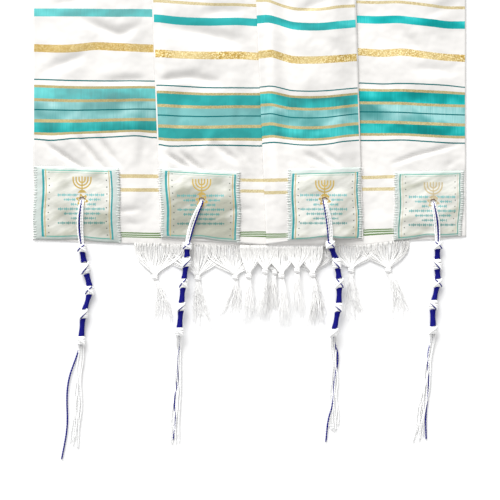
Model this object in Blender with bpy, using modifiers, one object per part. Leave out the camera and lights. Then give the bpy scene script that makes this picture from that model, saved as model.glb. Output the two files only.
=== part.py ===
# Tallit prayer shawl, doubled over and laid flat.
# The lower half lies on the surface and turns over at the top fold. The upper half lies on it,
# gathered into a pleat that opens towards that fold. Both hems carry a knotted fringe, and each
# of the four corners has a sewn-on satin square with a tzitzit (wound tassel) through its hole.
# Metres, +Z up, +Y from the hems towards the top fold, origin under the middle on the surface.

import math

import bmesh
import bpy
from mathutils import Vector

# The cloth and its layers
WALL = 0.0010
GAP = 0.0003
HEM_Y = -0.2745
FOLD_Y = 0.5448
FOLD_RADIUS = 0.0026
LIP_Y = 0.5150
UPPER_LEVEL = WALL + GAP

# The pleat of the upper half
OPENING_Y = 0.0381
OPENING_BEND = 0.25
PLEAT_OVERLAP = 0.088
PLEAT_JOIN_Y = 0.430
PLEAT_LEVEL = UPPER_LEVEL + WALL + GAP
PLEAT_HEIGHT = 0.0024
PLEAT_SLOPE = 0.014
PLEAT_CLEAR = 0.006
HIDDEN_END_WIDTH = 0.020
HIDDEN_END_HEIGHT = 0.0010
# The hidden layers' rows, as shares of their length, and their side: share of the height, drawn in
HIDDEN_ROWS = (0.0, 0.03, 0.08, 0.14, 0.21, 0.30, 0.42, 0.56, 0.70, 0.84, 1.0)
HIDDEN_SIDE = (
    (0.00, 0.0009),
    (0.16, 0.0000),
    (0.36, 0.0000),
    (0.50, 0.0011),
    (0.64, 0.0000),
    (0.84, 0.0000),
    (1.00, 0.0009),
)
PLEAT_END_Y = HEM_Y - 0.0008

# Where the upper half's edges run: across the shawl, at the hem, where the pleat opens, at the fold
UPPER_EDGES = {
    "left": (-0.1120, -0.1238, -0.2750),
    "pleat": (0.0215, 0.0083, 0.1480),
    "right": (0.1445, 0.1353, 0.2750),
}

RIGHT_WIDTH = 0.123
# The fold is fully rolled where it stands this much above a flat wall
ROLL_HEIGHT = 0.0012
# Distances from the pleat's fold at which the right stretch takes its points, the last at the selvedge
FOLD_SIDES = (0.0120, 0.0300, 0.0470, 0.0640, 0.0800, 0.0885, 0.0950, 0.1020, 0.1120, 1.0000)

# Each hem's edge, left to right: place across, place along
LOWER_HEM = (
    (-0.2750, -0.2667),
    (-0.2110, -0.2697),
    (-0.1700, -0.2716),
    (0.0000, -0.2750),
    (0.1500, -0.2742),
    (0.1900, -0.2685),
    (0.2320, -0.2665),
    (0.2750, -0.2623),
)
LEFT_HEM = ((-0.1240, -0.2640), (-0.0120, -0.2705), (0.0160, -0.2740), (0.1200, -0.2740))
RIGHT_HEM = ((0.0215, -0.2725), (0.0490, -0.2680), (0.1020, -0.2640), (0.1445, -0.2665))

# The largest soft folds of each layer: middle, turn from the X axis, length, width, height
LOWER_CREASES = (
    (-0.232, -0.125, 50, 0.090, 0.044, 0.0016),
    (-0.172, -0.060, -35, 0.090, 0.044, 0.0013),
    (-0.200, 0.020, 70, 0.110, 0.044, 0.0012),
    (0.228, -0.130, 14, 0.110, 0.044, 0.0016),
    (0.205, -0.050, -62, 0.110, 0.044, 0.0012),
    (0.238, 0.030, 80, 0.090, 0.044, 0.0012),
)
LEFT_CREASES = (
    (-0.076, -0.128, 62, 0.080, 0.044, 0.0014),
    (-0.034, -0.100, -28, 0.090, 0.044, 0.0012),
    (-0.062, -0.035, 25, 0.100, 0.048, 0.0014),
    (-0.080, 0.180, 74, 0.300, 0.060, 0.0022),
    (0.020, 0.300, 64, 0.260, 0.056, 0.0020),
    (-0.170, 0.330, 118, 0.240, 0.060, 0.0018),
)
RIGHT_CREASES = (
    (0.052, -0.030, 100, 0.120, 0.044, 0.0012),
    (0.090, -0.110, 20, 0.080, 0.040, 0.0012),
    (0.150, 0.220, 70, 0.260, 0.056, 0.0018),
    (0.225, 0.400, 62, 0.160, 0.050, 0.0014),
)
# The cloth lies level under the squares, up to here
LEVEL_END = -0.168

# Rows of points along the cloth, as distances from the hem
UPPER_ROWS = (
    0.000, 0.016, 0.052, 0.094, 0.116, 0.140, 0.165, 0.195, 0.230, 0.270, 0.315,
    0.370, 0.430, 0.500, 0.570, 0.640, 0.704, 0.735, 0.766, 0.7895,
)
LOWER_ROWS = (
    0.000, 0.020, 0.050, 0.080, 0.105, 0.125, 0.150, 0.178, 0.210, 0.245, 0.285, 0.330, 0.500, 0.700, 0.7835,
)
LOWER_COLUMNS = (
    -0.275, -0.253, -0.232, -0.211, -0.190, -0.170, -0.150, -0.128, 0.000, 0.150, 0.170, 0.190,
    0.211, 0.232, 0.253, 0.275,
)

# The corner squares: name, layer, corners (lower left, lower right, upper right, upper left), hole
SQUARE_MARGIN = 0.0004
SQUARE_STEPS = (0.0, 0.25, 0.5, 0.75, 1.0)
# Across the right stretch a square takes its points where the cloth bends down beside the pleat
SLOPE_STEPS = (0.0, 0.19, 0.37, 0.543, 0.635, 0.706, 0.781, 0.89, 1.0)
HOLE_RADIUS = 0.0032
SQUARES = (
    (
        "lower_left", "lower",
        ((-0.2735, -0.2658), (-0.1635, -0.2706), (-0.1650, -0.1755), (-0.2712, -0.1728)),
        (-0.2121, -0.2159),
    ),
    (
        "upper_left", "left",
        ((-0.1110, -0.2638), (-0.0118, -0.2700), (-0.0122, -0.1803), (-0.1142, -0.1748)),
        (-0.0606, -0.2169),
    ),
    (
        "upper_right", "right",
        ((0.0492, -0.2672), (0.1425, -0.2650), (0.1405, -0.1744), (0.0490, -0.1770)),
        (0.0950, -0.2163),
    ),
    (
        "lower_right", "lower",
        ((0.1835, -0.2676), (0.2690, -0.2616), (0.2728, -0.1785), (0.1850, -0.1800)),
        (0.2328, -0.2184),
    ),
)

# The fringe: threads leave a narrow strip, are tied in a knot, and hang free below it
THREAD_COLUMNS = 4
THREAD_ROWS = 2
STRIP_DEPTH = 0.0024
KNOT_CELL = (0.0015, 0.0014)
KNOT_HALF_LENGTH = 0.0034
KNOT_ENDS = (KNOT_CELL[0] * THREAD_COLUMNS, KNOT_CELL[1] * THREAD_ROWS)
KNOT_BULGE = (1.28, 1.10)
# A thread's width at half way, as a share of its width at the strip, its height, and how far it has risen
THREAD_WAIST = 0.4
THREAD_HEIGHT = 0.0011
THREAD_RISE = 0.93
# A free strand's width, unevenness of length, spread, lift of the upper row, and middle number
STRAND_SIZE = 0.00095
STRAND_UNEVEN = 0.10
STRAND_SPREAD = 0.8
STRAND_LIFT = 0.0002
MIDDLE_STRAND = (THREAD_COLUMNS * THREAD_ROWS - 1) / 2
# Share of a strand's length, and of its way down from the knot, at each of its rings
STRAND_FALL = ((0.3, 0.0), (0.65, 0.35), (1.0, 1.0))
TIP_SLIM = 0.75
LOWER_FRINGE = {
    "left": -0.1450,
    "pitch": 0.0495,
    "thread": 0.0053,
    "fan": 0.0030,
    "strip_z": 0.0008,
    "knot_z": 0.0020,
    "rest_z": 0.0008,
    # Knot across and along, tip across and along, sway
    "tassels": (
        (-0.1200, -0.3137, -0.1085, -0.3740, 0.0030),
        (-0.0660, -0.3150, -0.0570, -0.3765, -0.0025),
        (-0.0180, -0.3137, -0.0245, -0.3610, 0.0022),
        (0.0325, -0.3073, 0.0290, -0.3660, -0.0028),
        (0.0810, -0.3099, 0.0850, -0.3740, 0.0026),
        (0.1290, -0.3050, 0.1345, -0.3665, -0.0024),
        (0.1760, -0.3048, 0.1930, -0.3655, 0.0034),
    ),
}
UPPER_FRINGE = {
    "left": -0.0110,
    "pitch": 0.0206,
    "thread": 0.0023,
    "fan": 0.0020,
    "strip_z": 0.0046,
    "knot_z": 0.0057,
    "rest_z": 0.0046,
    "tassels": (
        (-0.0010, -0.3125, -0.0040, -0.3715, 0.0018),
        (0.0200, -0.3065, 0.0165, -0.3650, -0.0016),
        (0.0405, -0.3118, 0.0420, -0.3755, 0.0020),
        (0.0605, -0.3050, 0.0630, -0.3620, -0.0018),
        (0.0800, -0.3105, 0.0830, -0.3705, 0.0014),
    ),
}
FRINGE_TOP = 0.0040
FRINGE_END = -0.3830
# How far beyond the hem, and beyond the fringe, a cord takes to come down
HEM_FALL = 0.026
FRINGE_FALL = 0.020

# The tzitzit: a loop from the hole, five knots with four windings between them, and eight strands
LOOP_SIZE = (0.0066, 0.0026)
KNOT_SIZE = (0.0098, 0.0078)
WINDING_SIZE = (0.0072, 0.0066)
STAGES = 8
KNOT_SPAN = 0.42
LOOP_CLEAR = 0.0005
ROOT_SIZE = (0.0040, 0.0024)
# How round the loop, and the knots and windings, are: 0 for a rectangle, 1 for an oval
LOOP_ROUND = 0.6
CORD_ROUND = 0.9
TAIL_CELL = (0.0018, 0.0018)
TAIL_SIZE = 0.00125
TAIL_STEPS = 5
TAIL_FAN = 0.0017
TAIL_UNEVEN = 0.035
TAIL_LIFT = 0.0016
TAIL_END_LIFT = 0.0004
TAIL_WAVE = 0.0016
TAIL_TURNS = 45
# Square, first and last knot, sideways place of the seven stages between, tail's end, the coloured
# strand's place among the eight and its end, and what lies under: square and hem, then fringe
TZITZIT = (
    {
        "corner": "lower_left",
        "first": (-0.2140, -0.2775),
        "last": (-0.2140, -0.3950),
        "sway": (0.0006, 0.0051, 0.0064, 0.0102, 0.0076, 0.0038, 0.0006),
        "tail": (-0.2190, -0.5270),
        "coloured": (0, (-0.2381, -0.5448)),
        "over_fringe": False,
    },
    {
        "corner": "upper_left",
        "first": (-0.0794, -0.2730),
        "last": (-0.0889, -0.3835),
        "sway": (0.0025, 0.0024, 0.0011, 0.0004, -0.0004, -0.0005, -0.0006),
        "tail": (-0.0960, -0.5225),
        "coloured": (3, (-0.0968, -0.5200)),
        "over_fringe": True,
    },
    {
        "corner": "upper_right",
        "first": (0.1029, -0.2720),
        "last": (0.1067, -0.3823),
        "sway": (0.0039, 0.0060, 0.0081, 0.0095, 0.0084, 0.0072, 0.0049),
        "tail": (0.1060, -0.5080),
        "coloured": (0, (0.0959, -0.5226)),
        "over_fringe": True,
    },
    {
        "corner": "lower_right",
        "first": (0.2394, -0.2735),
        "last": (0.2324, -0.3810),
        "sway": (-0.0023, 0.0017, 0.0020, 0.0022, 0.0012, -0.0018, -0.0003),
        "tail": (0.2127, -0.5182),
        "coloured": (7, (0.2237, -0.5194)),
        "over_fringe": False,
    },
)


# Small shared sums
def along(table, x):
    """The value of a two-column table at x, on straight runs between its rows."""
    if x <= table[0][0]:
        return table[0][1]
    for (x0, y0), (x1, y1) in zip(table, table[1:]):
        if x <= x1:
            return y0 + (y1 - y0) * (x - x0) / (x1 - x0)
    return table[-1][1]


def soft_step(t):
    """0 to 1 with level ends."""
    t = min(max(t, 0.0), 1.0)
    return t * t * (3 - 2 * t)


def mix(a, b, t):
    return a + (b - a) * t


def opening(y):
    """How far the pleat has opened: 0 where it is closed, 1 at the top fold."""
    t = max(0.0, (y - OPENING_Y) / (LIP_Y - OPENING_Y))
    return (math.hypot(t, OPENING_BEND) - OPENING_BEND) / (math.hypot(1, OPENING_BEND) - OPENING_BEND)


def edge(name, y):
    """Where an edge of the upper half runs at y: a straight lean below, a fan above."""
    at_hem, at_opening, at_fold = UPPER_EDGES[name]
    lean = (at_opening - at_hem) / (OPENING_Y - HEM_Y)
    straight = at_opening + lean * (y - OPENING_Y)
    straight_top = at_opening + lean * (LIP_Y - OPENING_Y)
    return straight + (at_fold - straight_top) * opening(y)


def creases(table, x, y):
    """Height that a layer's soft folds add at a point, above the squares."""
    height = 0.0
    above = soft_step((y - LEVEL_END) / 0.030)
    for cx, cy, turn, length, width, rise in table:
        a = math.radians(turn)
        run = (x - cx) * math.cos(a) + (y - cy) * math.sin(a)
        side = (y - cy) * math.cos(a) - (x - cx) * math.sin(a)
        fade = soft_step(1 - abs(run) / (length / 2))
        height = max(height, rise * fade * math.exp(-((side / (width / 2)) ** 2) * 2))
    return height * above


def row_y(hem, x, distance):
    """Place along the shawl at a distance from the hem: the hem's own curve fades into the cloth."""
    return HEM_Y + distance + (along(hem, x) - HEM_Y) * max(0.0, 1 - distance / 0.160)


# Heights of the layers
def lower_top(x, y):
    """Top of the lower half. Under the upper half it lies level."""
    clear_left = soft_step((edge("left", y) - 0.010 - x) / 0.024)
    clear_right = soft_step((x - 0.010 - edge("right", y)) / 0.024)
    return WALL + creases(LOWER_CREASES, x, y) * max(clear_left, clear_right)


def pleat_share(y):
    """1 where the pleat is closed, 0 where it has opened out."""
    return 1 - soft_step((y - OPENING_Y) / (PLEAT_JOIN_Y - OPENING_Y))


def left_floor(x, y):
    """Underside of the upper half's left stretch."""
    clear = soft_step((edge("pleat", y) - PLEAT_CLEAR - x) / 0.016)
    clear *= soft_step((x - edge("left", y)) / 0.012)
    return UPPER_LEVEL + creases(LEFT_CREASES, x, y) * clear


def left_top(x, y):
    return left_floor(x, y) + WALL


def hidden_height(y):
    """Height of the hidden layers between the two stretches."""
    return mix(HIDDEN_END_HEIGHT, PLEAT_HEIGHT, pleat_share(y))


def hidden_width(y):
    return mix(HIDDEN_END_WIDTH, PLEAT_OVERLAP - 0.003, pleat_share(y))


def right_top(x, y):
    """Top of the upper half's right stretch: over the hidden layers, then down to the lower half."""
    side = x - edge("pleat", y)
    low = UPPER_LEVEL + WALL
    over_left = PLEAT_LEVEL + WALL
    over_hidden = over_left + hidden_height(y) + GAP
    down = soft_step((y - PLEAT_JOIN_Y) / (LIP_Y - 0.020 - PLEAT_JOIN_Y))
    high = mix(over_hidden, low, down)
    slope = soft_step((side - PLEAT_OVERLAP) / PLEAT_SLOPE)
    clear = soft_step((side - 0.006) / 0.012) * soft_step((edge("right", y) - x) / 0.010)
    return mix(high, low, slope) + creases(RIGHT_CREASES, x, y) * clear


TOPS = {"lower": lower_top, "left": left_top, "right": right_top}


# Making objects
def new_material(name, colour, roughness):
    material = bpy.data.materials.new(name)
    material.use_nodes = True
    shader = material.node_tree.nodes["Principled BSDF"]
    shader.inputs["Base Color"].default_value = (*colour, 1)
    shader.inputs["Roughness"].default_value = roughness
    shader.inputs["Metallic"].default_value = 0
    return material


def new_object(name, mesh, material, collection):
    piece = bpy.data.objects.new(name, mesh)
    piece.data.materials.append(material)
    collection.objects.link(piece)
    return piece


def close_mesh(name, form):
    """A mesh from a bmesh, with its faces turned out."""
    bmesh.ops.recalc_face_normals(form, faces=form.faces)
    mesh = bpy.data.meshes.new(name)
    form.to_mesh(mesh)
    form.free()
    mesh.shade_smooth()
    mesh.set_sharp_from_angle(angle=math.radians(50))
    return mesh


def sheet(name, columns, rows, place, material, collection):
    """An open surface of columns by rows points, thickened by one wall on the side away from its normal."""
    form = bmesh.new()
    bmesh.ops.create_grid(form, x_segments=len(columns) - 1, y_segments=len(rows) - 1, size=1)
    for point in form.verts:
        i = round((point.co.x + 1) / 2 * (len(columns) - 1))
        j = round((point.co.y + 1) / 2 * (len(rows) - 1))
        point.co = place(columns[i], rows[j])
    mesh = bpy.data.meshes.new(name)
    form.to_mesh(mesh)
    form.free()
    piece = new_object(name, mesh, material, collection)
    wall = piece.modifiers.new("wall", "SOLIDIFY")
    wall.thickness = WALL
    wall.offset = -1
    wall.use_even_offset = True
    return piece


# The cloth
def lower_half(material, collection):
    """From the hem along the surface, round the top fold and back over it as a short lip."""
    fold_start = FOLD_Y - FOLD_RADIUS
    turn = [math.radians(a) for a in (-60, -20, 20, 60, 90)]
    path = [("flat", d) for d in LOWER_ROWS]
    path += [("turn", a) for a in turn]
    path += [("lip", t) for t in (0.3, 0.6, 0.85, 1.0)]

    def place(x, step):
        kind, value = step
        if kind == "flat":
            y = row_y(LOWER_HEM, x, value)
            return Vector((x, y, lower_top(x, y) - WALL))
        if kind == "turn":
            y = fold_start + FOLD_RADIUS * math.cos(value)
            return Vector((x, y, FOLD_RADIUS * (1 + math.sin(value))))
        y = mix(fold_start, LIP_Y + GAP, value)
        return Vector((x, y, mix(2 * FOLD_RADIUS, UPPER_LEVEL + WALL, soft_step(value))))

    # The grid's normal points up, so the surface is laid out from right to left to face down
    columns = tuple(reversed(LOWER_COLUMNS))
    return sheet("lower_half", columns, path, place, material, collection)


def upper_left(material, collection):
    """The left stretch, from its selvedge to where it ends under the pleat."""
    # Share of the stretch that shows, then share of what lies under the pleat
    columns = [(share, 0.0) for share in (0.0, 0.1, 0.23, 0.36, 0.49, 0.62, 0.75, 0.88, 1.0)]
    columns += [(1.0, 0.5), (1.0, 1.0)]

    def place(column, distance):
        shown, hidden = column
        level_y = HEM_Y + distance
        closed = min(1.0, max(0.0, (PLEAT_JOIN_Y - level_y) / (PLEAT_JOIN_Y - OPENING_Y)))
        under = mix(-GAP, PLEAT_OVERLAP, closed)
        x = mix(edge("left", level_y), edge("pleat", level_y) - PLEAT_CLEAR, shown)
        x = mix(x, edge("pleat", level_y) + under, hidden)
        y = min(row_y(LEFT_HEM, x, distance), LIP_Y)
        return Vector((x, y, left_top(x, y)))

    return sheet("upper_half_left", columns, UPPER_ROWS, place, material, collection)


def upper_right(material, collection):
    """The right stretch: its left edge is the pleat's rounded fold, its right edge the selvedge."""
    # Distance from the fold once rolled, how far down its rounded side, distance where it lies level
    columns = (
        (0.0000, 1.00, 0.0000),
        (0.0000, 0.45, 0.0014),
        (0.0004, 0.14, 0.0028),
        (0.0022, 0.00, 0.0044),
    )
    columns += tuple((side, 0.0, side) for side in FOLD_SIDES)

    def place(column, distance):
        rolled_side, drop, level_side = column
        level_y = HEM_Y + distance
        side = min(level_side, RIGHT_WIDTH)
        y = min(row_y(RIGHT_HEM, edge("pleat", level_y) + side, distance), LIP_Y)
        top = right_top(edge("pleat", y) + side, y)
        rolled = min(1.0, max(0.0, (top - PLEAT_LEVEL - WALL) / ROLL_HEIGHT))
        x = min(edge("pleat", y) + mix(level_side, rolled_side, rolled), edge("right", y))
        top = right_top(x, y)
        foot = PLEAT_LEVEL + GAP * (1 - pleat_share(y))
        return Vector((x, y, top - (top - foot) * drop * rolled))

    return sheet("upper_half_right", columns, UPPER_ROWS, place, material, collection)


def pleat_layers(material, collection):
    """The hidden layers between the two stretches as one solid, with a groove round its edge."""
    ends = []
    start = PLEAT_END_Y
    stop = PLEAT_JOIN_Y - 0.030
    for share in HIDDEN_ROWS:
        y = mix(start, stop, share)
        ends.append((y, edge("pleat", y) + WALL + 3 * GAP, edge("pleat", y) + hidden_width(y)))
    outline = [(left, y) for y, left, right in ends]
    outline += [(right, y) for y, left, right in reversed(ends)]
    middle_y = (start + stop) / 2
    form = bmesh.new()
    rings = []
    for share, inset in HIDDEN_SIDE:
        ring = []
        for x, y in outline:
            middle = edge("pleat", y) + hidden_width(y) / 2
            x_in = x + math.copysign(inset, middle - x)
            at_end = y in (start, stop)
            y_in = y + math.copysign(inset, middle_y - y) if at_end else y
            ring.append(form.verts.new((x_in, y_in, PLEAT_LEVEL + share * hidden_height(y))))
        rings.append(ring)
    for below, above in zip(rings, rings[1:]):
        for i in range(len(outline)):
            k = (i + 1) % len(outline)
            form.faces.new((below[i], below[k], above[k], above[i]))
    half = len(HIDDEN_ROWS)
    for ring in (rings[0], rings[-1]):
        for i in range(half - 1):
            form.faces.new((ring[i], ring[i + 1], ring[-2 - i], ring[-1 - i]))
    mesh = close_mesh("pleat_layers", form)
    return new_object("pleat_layers", mesh, material, collection)


# The corner squares
def corner_square(name, layer, corners, hole, material, collection, cutters):
    """A sewn-on square made from its panel's points, moved out, with the tzitzit's hole cut through."""
    top = TOPS[layer]
    low_left, low_right, up_right, up_left = [Vector(c) for c in corners]
    columns = SLOPE_STEPS if layer == "right" else SQUARE_STEPS

    def place(u, v):
        point = low_left.lerp(low_right, u).lerp(up_left.lerp(up_right, u), v)
        return Vector((point.x, point.y, top(point.x, point.y) + SQUARE_MARGIN + WALL))

    piece = sheet("corner_square_" + name, columns, SQUARE_STEPS, place, material, collection)
    height = top(*hole) + WALL
    bpy.ops.mesh.primitive_cylinder_add(
        vertices=8, radius=HOLE_RADIUS, depth=0.006, location=(hole[0], hole[1], height)
    )
    cutter = bpy.context.object
    cutter.name = "hole_" + name
    cutter.hide_render = True
    cutter.display_type = "WIRE"
    for owner in list(cutter.users_collection):
        owner.objects.unlink(cutter)
    cutters.objects.link(cutter)
    hole_cut = piece.modifiers.new("hole", "BOOLEAN")
    hole_cut.operation = "DIFFERENCE"
    hole_cut.object = cutter
    return piece


# Bundles of strands, shared by the fringe and the tzitzit. A bundle's rim has five points along each
# long side, one on each short side, and runs round it once.
ACROSS = Vector((1, 0, 0))
DOWN = Vector((0, -1, 0))
RIM = [(a / 2, -1.0) for a in range(-2, 3)] + [(1.0, 0.0)]
RIM += [(a / 2, 1.0) for a in range(2, -3, -1)] + [(-1.0, 0.0)]


def frame_of(direction):
    """Across and up for a bundle that runs level along direction."""
    level = Vector((direction.x, direction.y, 0)).normalized()
    return Vector((-level.y, level.x, 0)), Vector((0, 0, 1))


def rim_ring(form, centre, direction, size, roundness):
    """A ring of twelve points, from a rectangle (0) to an oval (1)."""
    across, up = frame_of(direction)
    ring = []
    for a, b in RIM:
        angle = math.atan2(b, a)
        u = mix(a, math.cos(angle), roundness)
        v = mix(b, math.sin(angle), roundness)
        ring.append(form.verts.new(centre + across * (u * size[0] / 2) + up * (v * size[1] / 2)))
    return ring


def join_rings(form, first, second):
    for i in range(len(first)):
        k = (i + 1) % len(first)
        form.faces.new((first[i], first[k], second[k], second[i]))


def cells_of(form, ring, centre, direction, size):
    """The 4 by 2 cells inside a rectangular ring, as lists of four points."""
    across = frame_of(direction)[0]
    inner = {}
    for column in range(1, THREAD_COLUMNS):
        a = -1 + 2 * column / THREAD_COLUMNS
        inner[column] = form.verts.new(centre + across * (a * size[0] / 2))
    grid = {}
    for column in range(THREAD_COLUMNS + 1):
        grid[column, 0] = ring[column]
        grid[column, 2] = ring[10 - column]
    grid[0, 1] = ring[11]
    grid[4, 1] = ring[5]
    for column, point in inner.items():
        grid[column, 1] = point
    cells = {}
    for i in range(THREAD_COLUMNS):
        for j in range(THREAD_ROWS):
            cells[i, j] = [grid[i, j], grid[i + 1, j], grid[i + 1, j + 1], grid[i, j + 1]]
    return cells


def square_ring(form, centre, across, size):
    """Four points round a strand, in the order of a cell's points."""
    w = across * (size[0] / 2)
    h = Vector((0, 0, size[1] / 2))
    return [form.verts.new(centre + p) for p in (-w - h, w - h, w + h, -w + h)]


def grow_strand(form, cell, centres, across, size):
    """A four-sided strand from a cell along its centres, closed at its tip."""
    ring = cell
    for step, centre in enumerate(centres):
        slim = TIP_SLIM if step == len(centres) - 1 else 1.0
        following = square_ring(form, centre, across, (size * slim, size * slim))
        join_rings(form, ring, following)
        ring = following
    form.faces.new(ring)


# The fringe
def centre_of(points):
    return sum((p.co for p in points), Vector()) / len(points)


def fringe_strip(form, hem, data):
    """The strip along the hem. Returns the open cells that its threads leave from."""
    count = THREAD_COLUMNS * THREAD_ROWS
    spare = data["pitch"] - count * data["thread"]
    stations = []
    for tassel in range(len(data["tassels"])):
        start = data["left"] + tassel * data["pitch"] + spare / 2
        stations += [(start + k * data["thread"], k < count) for k in range(count + 1)]
    low = data["strip_z"] - WALL / 2
    high = data["strip_z"] + WALL / 2
    strip = []
    for x, _ in stations:
        back = along(hem, x) - GAP
        front = back - STRIP_DEPTH
        corners = ((x, front, low), (x, front, high), (x, back, high), (x, back, low))
        strip.append([form.verts.new(corner) for corner in corners])
    cells = []
    for left, right, (_, has_thread) in zip(strip, strip[1:], stations):
        for a, b in ((1, 2), (2, 3), (3, 0)):
            form.faces.new((left[a], left[b], right[b], right[a]))
        if has_thread:
            cells.append([left[0], right[0], right[1], left[1]])
        else:
            form.faces.new((left[0], left[1], right[1], right[0]))
    form.faces.new(strip[0])
    form.faces.new(strip[-1])
    return cells


def fringe_knot(form, knot):
    """A tassel's knot. Returns the open cells of its upper and its lower end."""
    bulge = (KNOT_ENDS[0] * KNOT_BULGE[0], KNOT_ENDS[1] * KNOT_BULGE[1])
    upper = knot - DOWN * KNOT_HALF_LENGTH
    lower = knot + DOWN * KNOT_HALF_LENGTH
    rings = [
        rim_ring(form, upper, DOWN, KNOT_ENDS, 0.0),
        rim_ring(form, knot, DOWN, bulge, 0.5),
        rim_ring(form, lower, DOWN, KNOT_ENDS, 0.0),
    ]
    join_rings(form, rings[0], rings[1])
    join_rings(form, rings[1], rings[2])
    return cells_of(form, rings[0], upper, DOWN, KNOT_ENDS), cells_of(form, rings[2], lower, DOWN, KNOT_ENDS)


def fringe(name, hem, data, material, collection):
    """One end's strip with all its tassels: threads, knots and free strands in one body."""
    form = bmesh.new()
    strip_cells = iter(fringe_strip(form, hem, data))
    for number, (knot_x, knot_y, tip_x, tip_y, sway) in enumerate(data["tassels"]):
        into, out_of = fringe_knot(form, Vector((knot_x, knot_y, data["knot_z"])))
        for k, (i, j) in enumerate(into):
            # Thread from the strip to the knot
            strip_cell = next(strip_cells)
            finish = centre_of(into[i, j])
            middle = centre_of(strip_cell).lerp(finish, 0.5)
            middle.z = mix(data["strip_z"], finish.z, THREAD_RISE)
            ring = square_ring(form, middle, ACROSS, (data["thread"] * THREAD_WAIST, THREAD_HEIGHT))
            join_rings(form, strip_cell, ring)
            join_rings(form, ring, into[i, j])
            # Free strand below the knot
            root = centre_of(out_of[i, j])
            length = 1 + STRAND_UNEVEN * math.sin(2.4 * k + 1.7 * number)
            x_end = tip_x + (k - MIDDLE_STRAND) * data["fan"]
            centres = []
            for share, fall in STRAND_FALL:
                f = share * length
                x = mix(root.x, x_end, f ** STRAND_SPREAD) + sway * math.sin(math.pi * f)
                rest = data["rest_z"] + STRAND_LIFT * j
                centres.append(Vector((x, mix(root.y, tip_y, f), mix(root.z, rest, fall))))
            grow_strand(form, out_of[i, j], centres, ACROSS, STRAND_SIZE)
    mesh = close_mesh(name, form)
    return new_object(name, mesh, material, collection)


# The tzitzit
def tzitzit(data, material, collection):
    """The loop over its corner square, the knots and windings, and the eight free strands."""
    corner = next(s for s in SQUARES if s[0] == data["corner"])
    layer, hole = corner[1], Vector(corner[3])
    top = TOPS[layer]
    first = Vector(data["first"])
    last = Vector(data["last"])
    step = (first - last).length / STAGES
    hem_end = first.y + KNOT_SPAN * step + LOOP_CLEAR * 2
    square_top = SQUARE_MARGIN + WALL + GAP
    hem_height = top(first.x, hem_end) + square_top

    def ground(x, y):
        """Height of what lies under the cord, with a little room."""
        beyond = GAP
        if data["over_fringe"]:
            beyond = mix(FRINGE_TOP, GAP, soft_step((FRINGE_END - y) / FRINGE_FALL))
        if y > hem_end:
            return top(x, y) + square_top
        return mix(hem_height, beyond, soft_step((hem_end - y) / HEM_FALL))

    form = bmesh.new()
    stages = [first.lerp(last, k / STAGES) for k in range(STAGES + 1)]
    for k, side in enumerate(data["sway"]):
        stages[k + 1].x += side
    # Centre line with the size of each ring: loop, then every knot as three rings
    line = []
    loop_end = Vector((first.x, first.y + step * KNOT_SPAN + LOOP_CLEAR))
    for share in (0.0, 0.35, 0.7, 1.0):
        line.append((hole.lerp(loop_end, share), LOOP_SIZE, LOOP_ROUND))
    for k in range(0, STAGES + 1, 2):
        here = stages[k]
        above = stages[k - 1] if k else here
        below = stages[k + 1] if k < STAGES else here
        for neighbour, shift, size in (
            (above, KNOT_SPAN, WINDING_SIZE if k else LOOP_SIZE),
            (here, 0.0, KNOT_SIZE),
            (below, -KNOT_SPAN, WINDING_SIZE),
        ):
            x = mix(here.x, neighbour.x, abs(shift))
            line.append((Vector((x, here.y + shift * step)), size, CORD_ROUND))
    tail_size = (TAIL_CELL[0] * THREAD_COLUMNS, TAIL_CELL[1] * THREAD_ROWS)
    line[-1] = (line[-1][0], tail_size, 0.0)
    rings = []
    for place, size, roundness in line:
        centre = Vector((place.x, place.y, ground(place.x, place.y) + size[1] / 2))
        rings.append(rim_ring(form, centre, DOWN, size, roundness))
    # The root turns down into the hole
    root_centre = Vector((hole.x, hole.y, top(*hole) + GAP))
    root = rim_ring(form, root_centre, DOWN, ROOT_SIZE, LOOP_ROUND)
    for point in root:
        point.co.y += point.co.z - root_centre.z
        point.co.z = root_centre.z
    form.faces.new(root)
    join_rings(form, root, rings[0])
    for a, b in zip(rings, rings[1:]):
        join_rings(form, a, b)
    end = line[-1][0]
    end_centre = Vector((end.x, end.y, ground(end.x, end.y) + tail_size[1] / 2))
    cells = cells_of(form, rings[-1], end_centre, DOWN, tail_size)
    coloured, coloured_end = data["coloured"]
    tail = Vector(data["tail"])
    for k, ((i, j), cell) in enumerate(cells.items()):
        start = centre_of(cell)
        tip = Vector((tail.x + (k - MIDDLE_STRAND) * TAIL_FAN, tail.y))
        length = 1 + TAIL_UNEVEN * math.sin(2.1 * k)
        if k == coloured:
            tip = Vector(coloured_end)
            length = 1.0
        centres = []
        for n in range(1, TAIL_STEPS + 1):
            f = n / TAIL_STEPS * length
            x = mix(start.x, tip.x, f)
            y = mix(start.y, tip.y, f)
            x += TAIL_WAVE * math.sin((y - end.y) * TAIL_TURNS)
            layer_lift = j * (TAIL_LIFT if n < TAIL_STEPS else TAIL_END_LIFT)
            rest = ground(x, y) + TAIL_SIZE / 2 + layer_lift
            centres.append(Vector((x, y, mix(start.z, rest, soft_step(f * 5)))))
        grow_strand(form, cell, centres, ACROSS, TAIL_SIZE)
    name = "tzitzit_" + data["corner"]
    mesh = close_mesh(name, form)
    return new_object(name, mesh, material, collection)


# Building
for old in list(bpy.data.objects):
    bpy.data.objects.remove(old, do_unlink=True)
parts = bpy.data.collections.new("tallit prayer shawl")
cutters = bpy.data.collections.new("cutters")
bpy.context.scene.collection.children.link(parts)
bpy.context.scene.collection.children.link(cutters)

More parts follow.
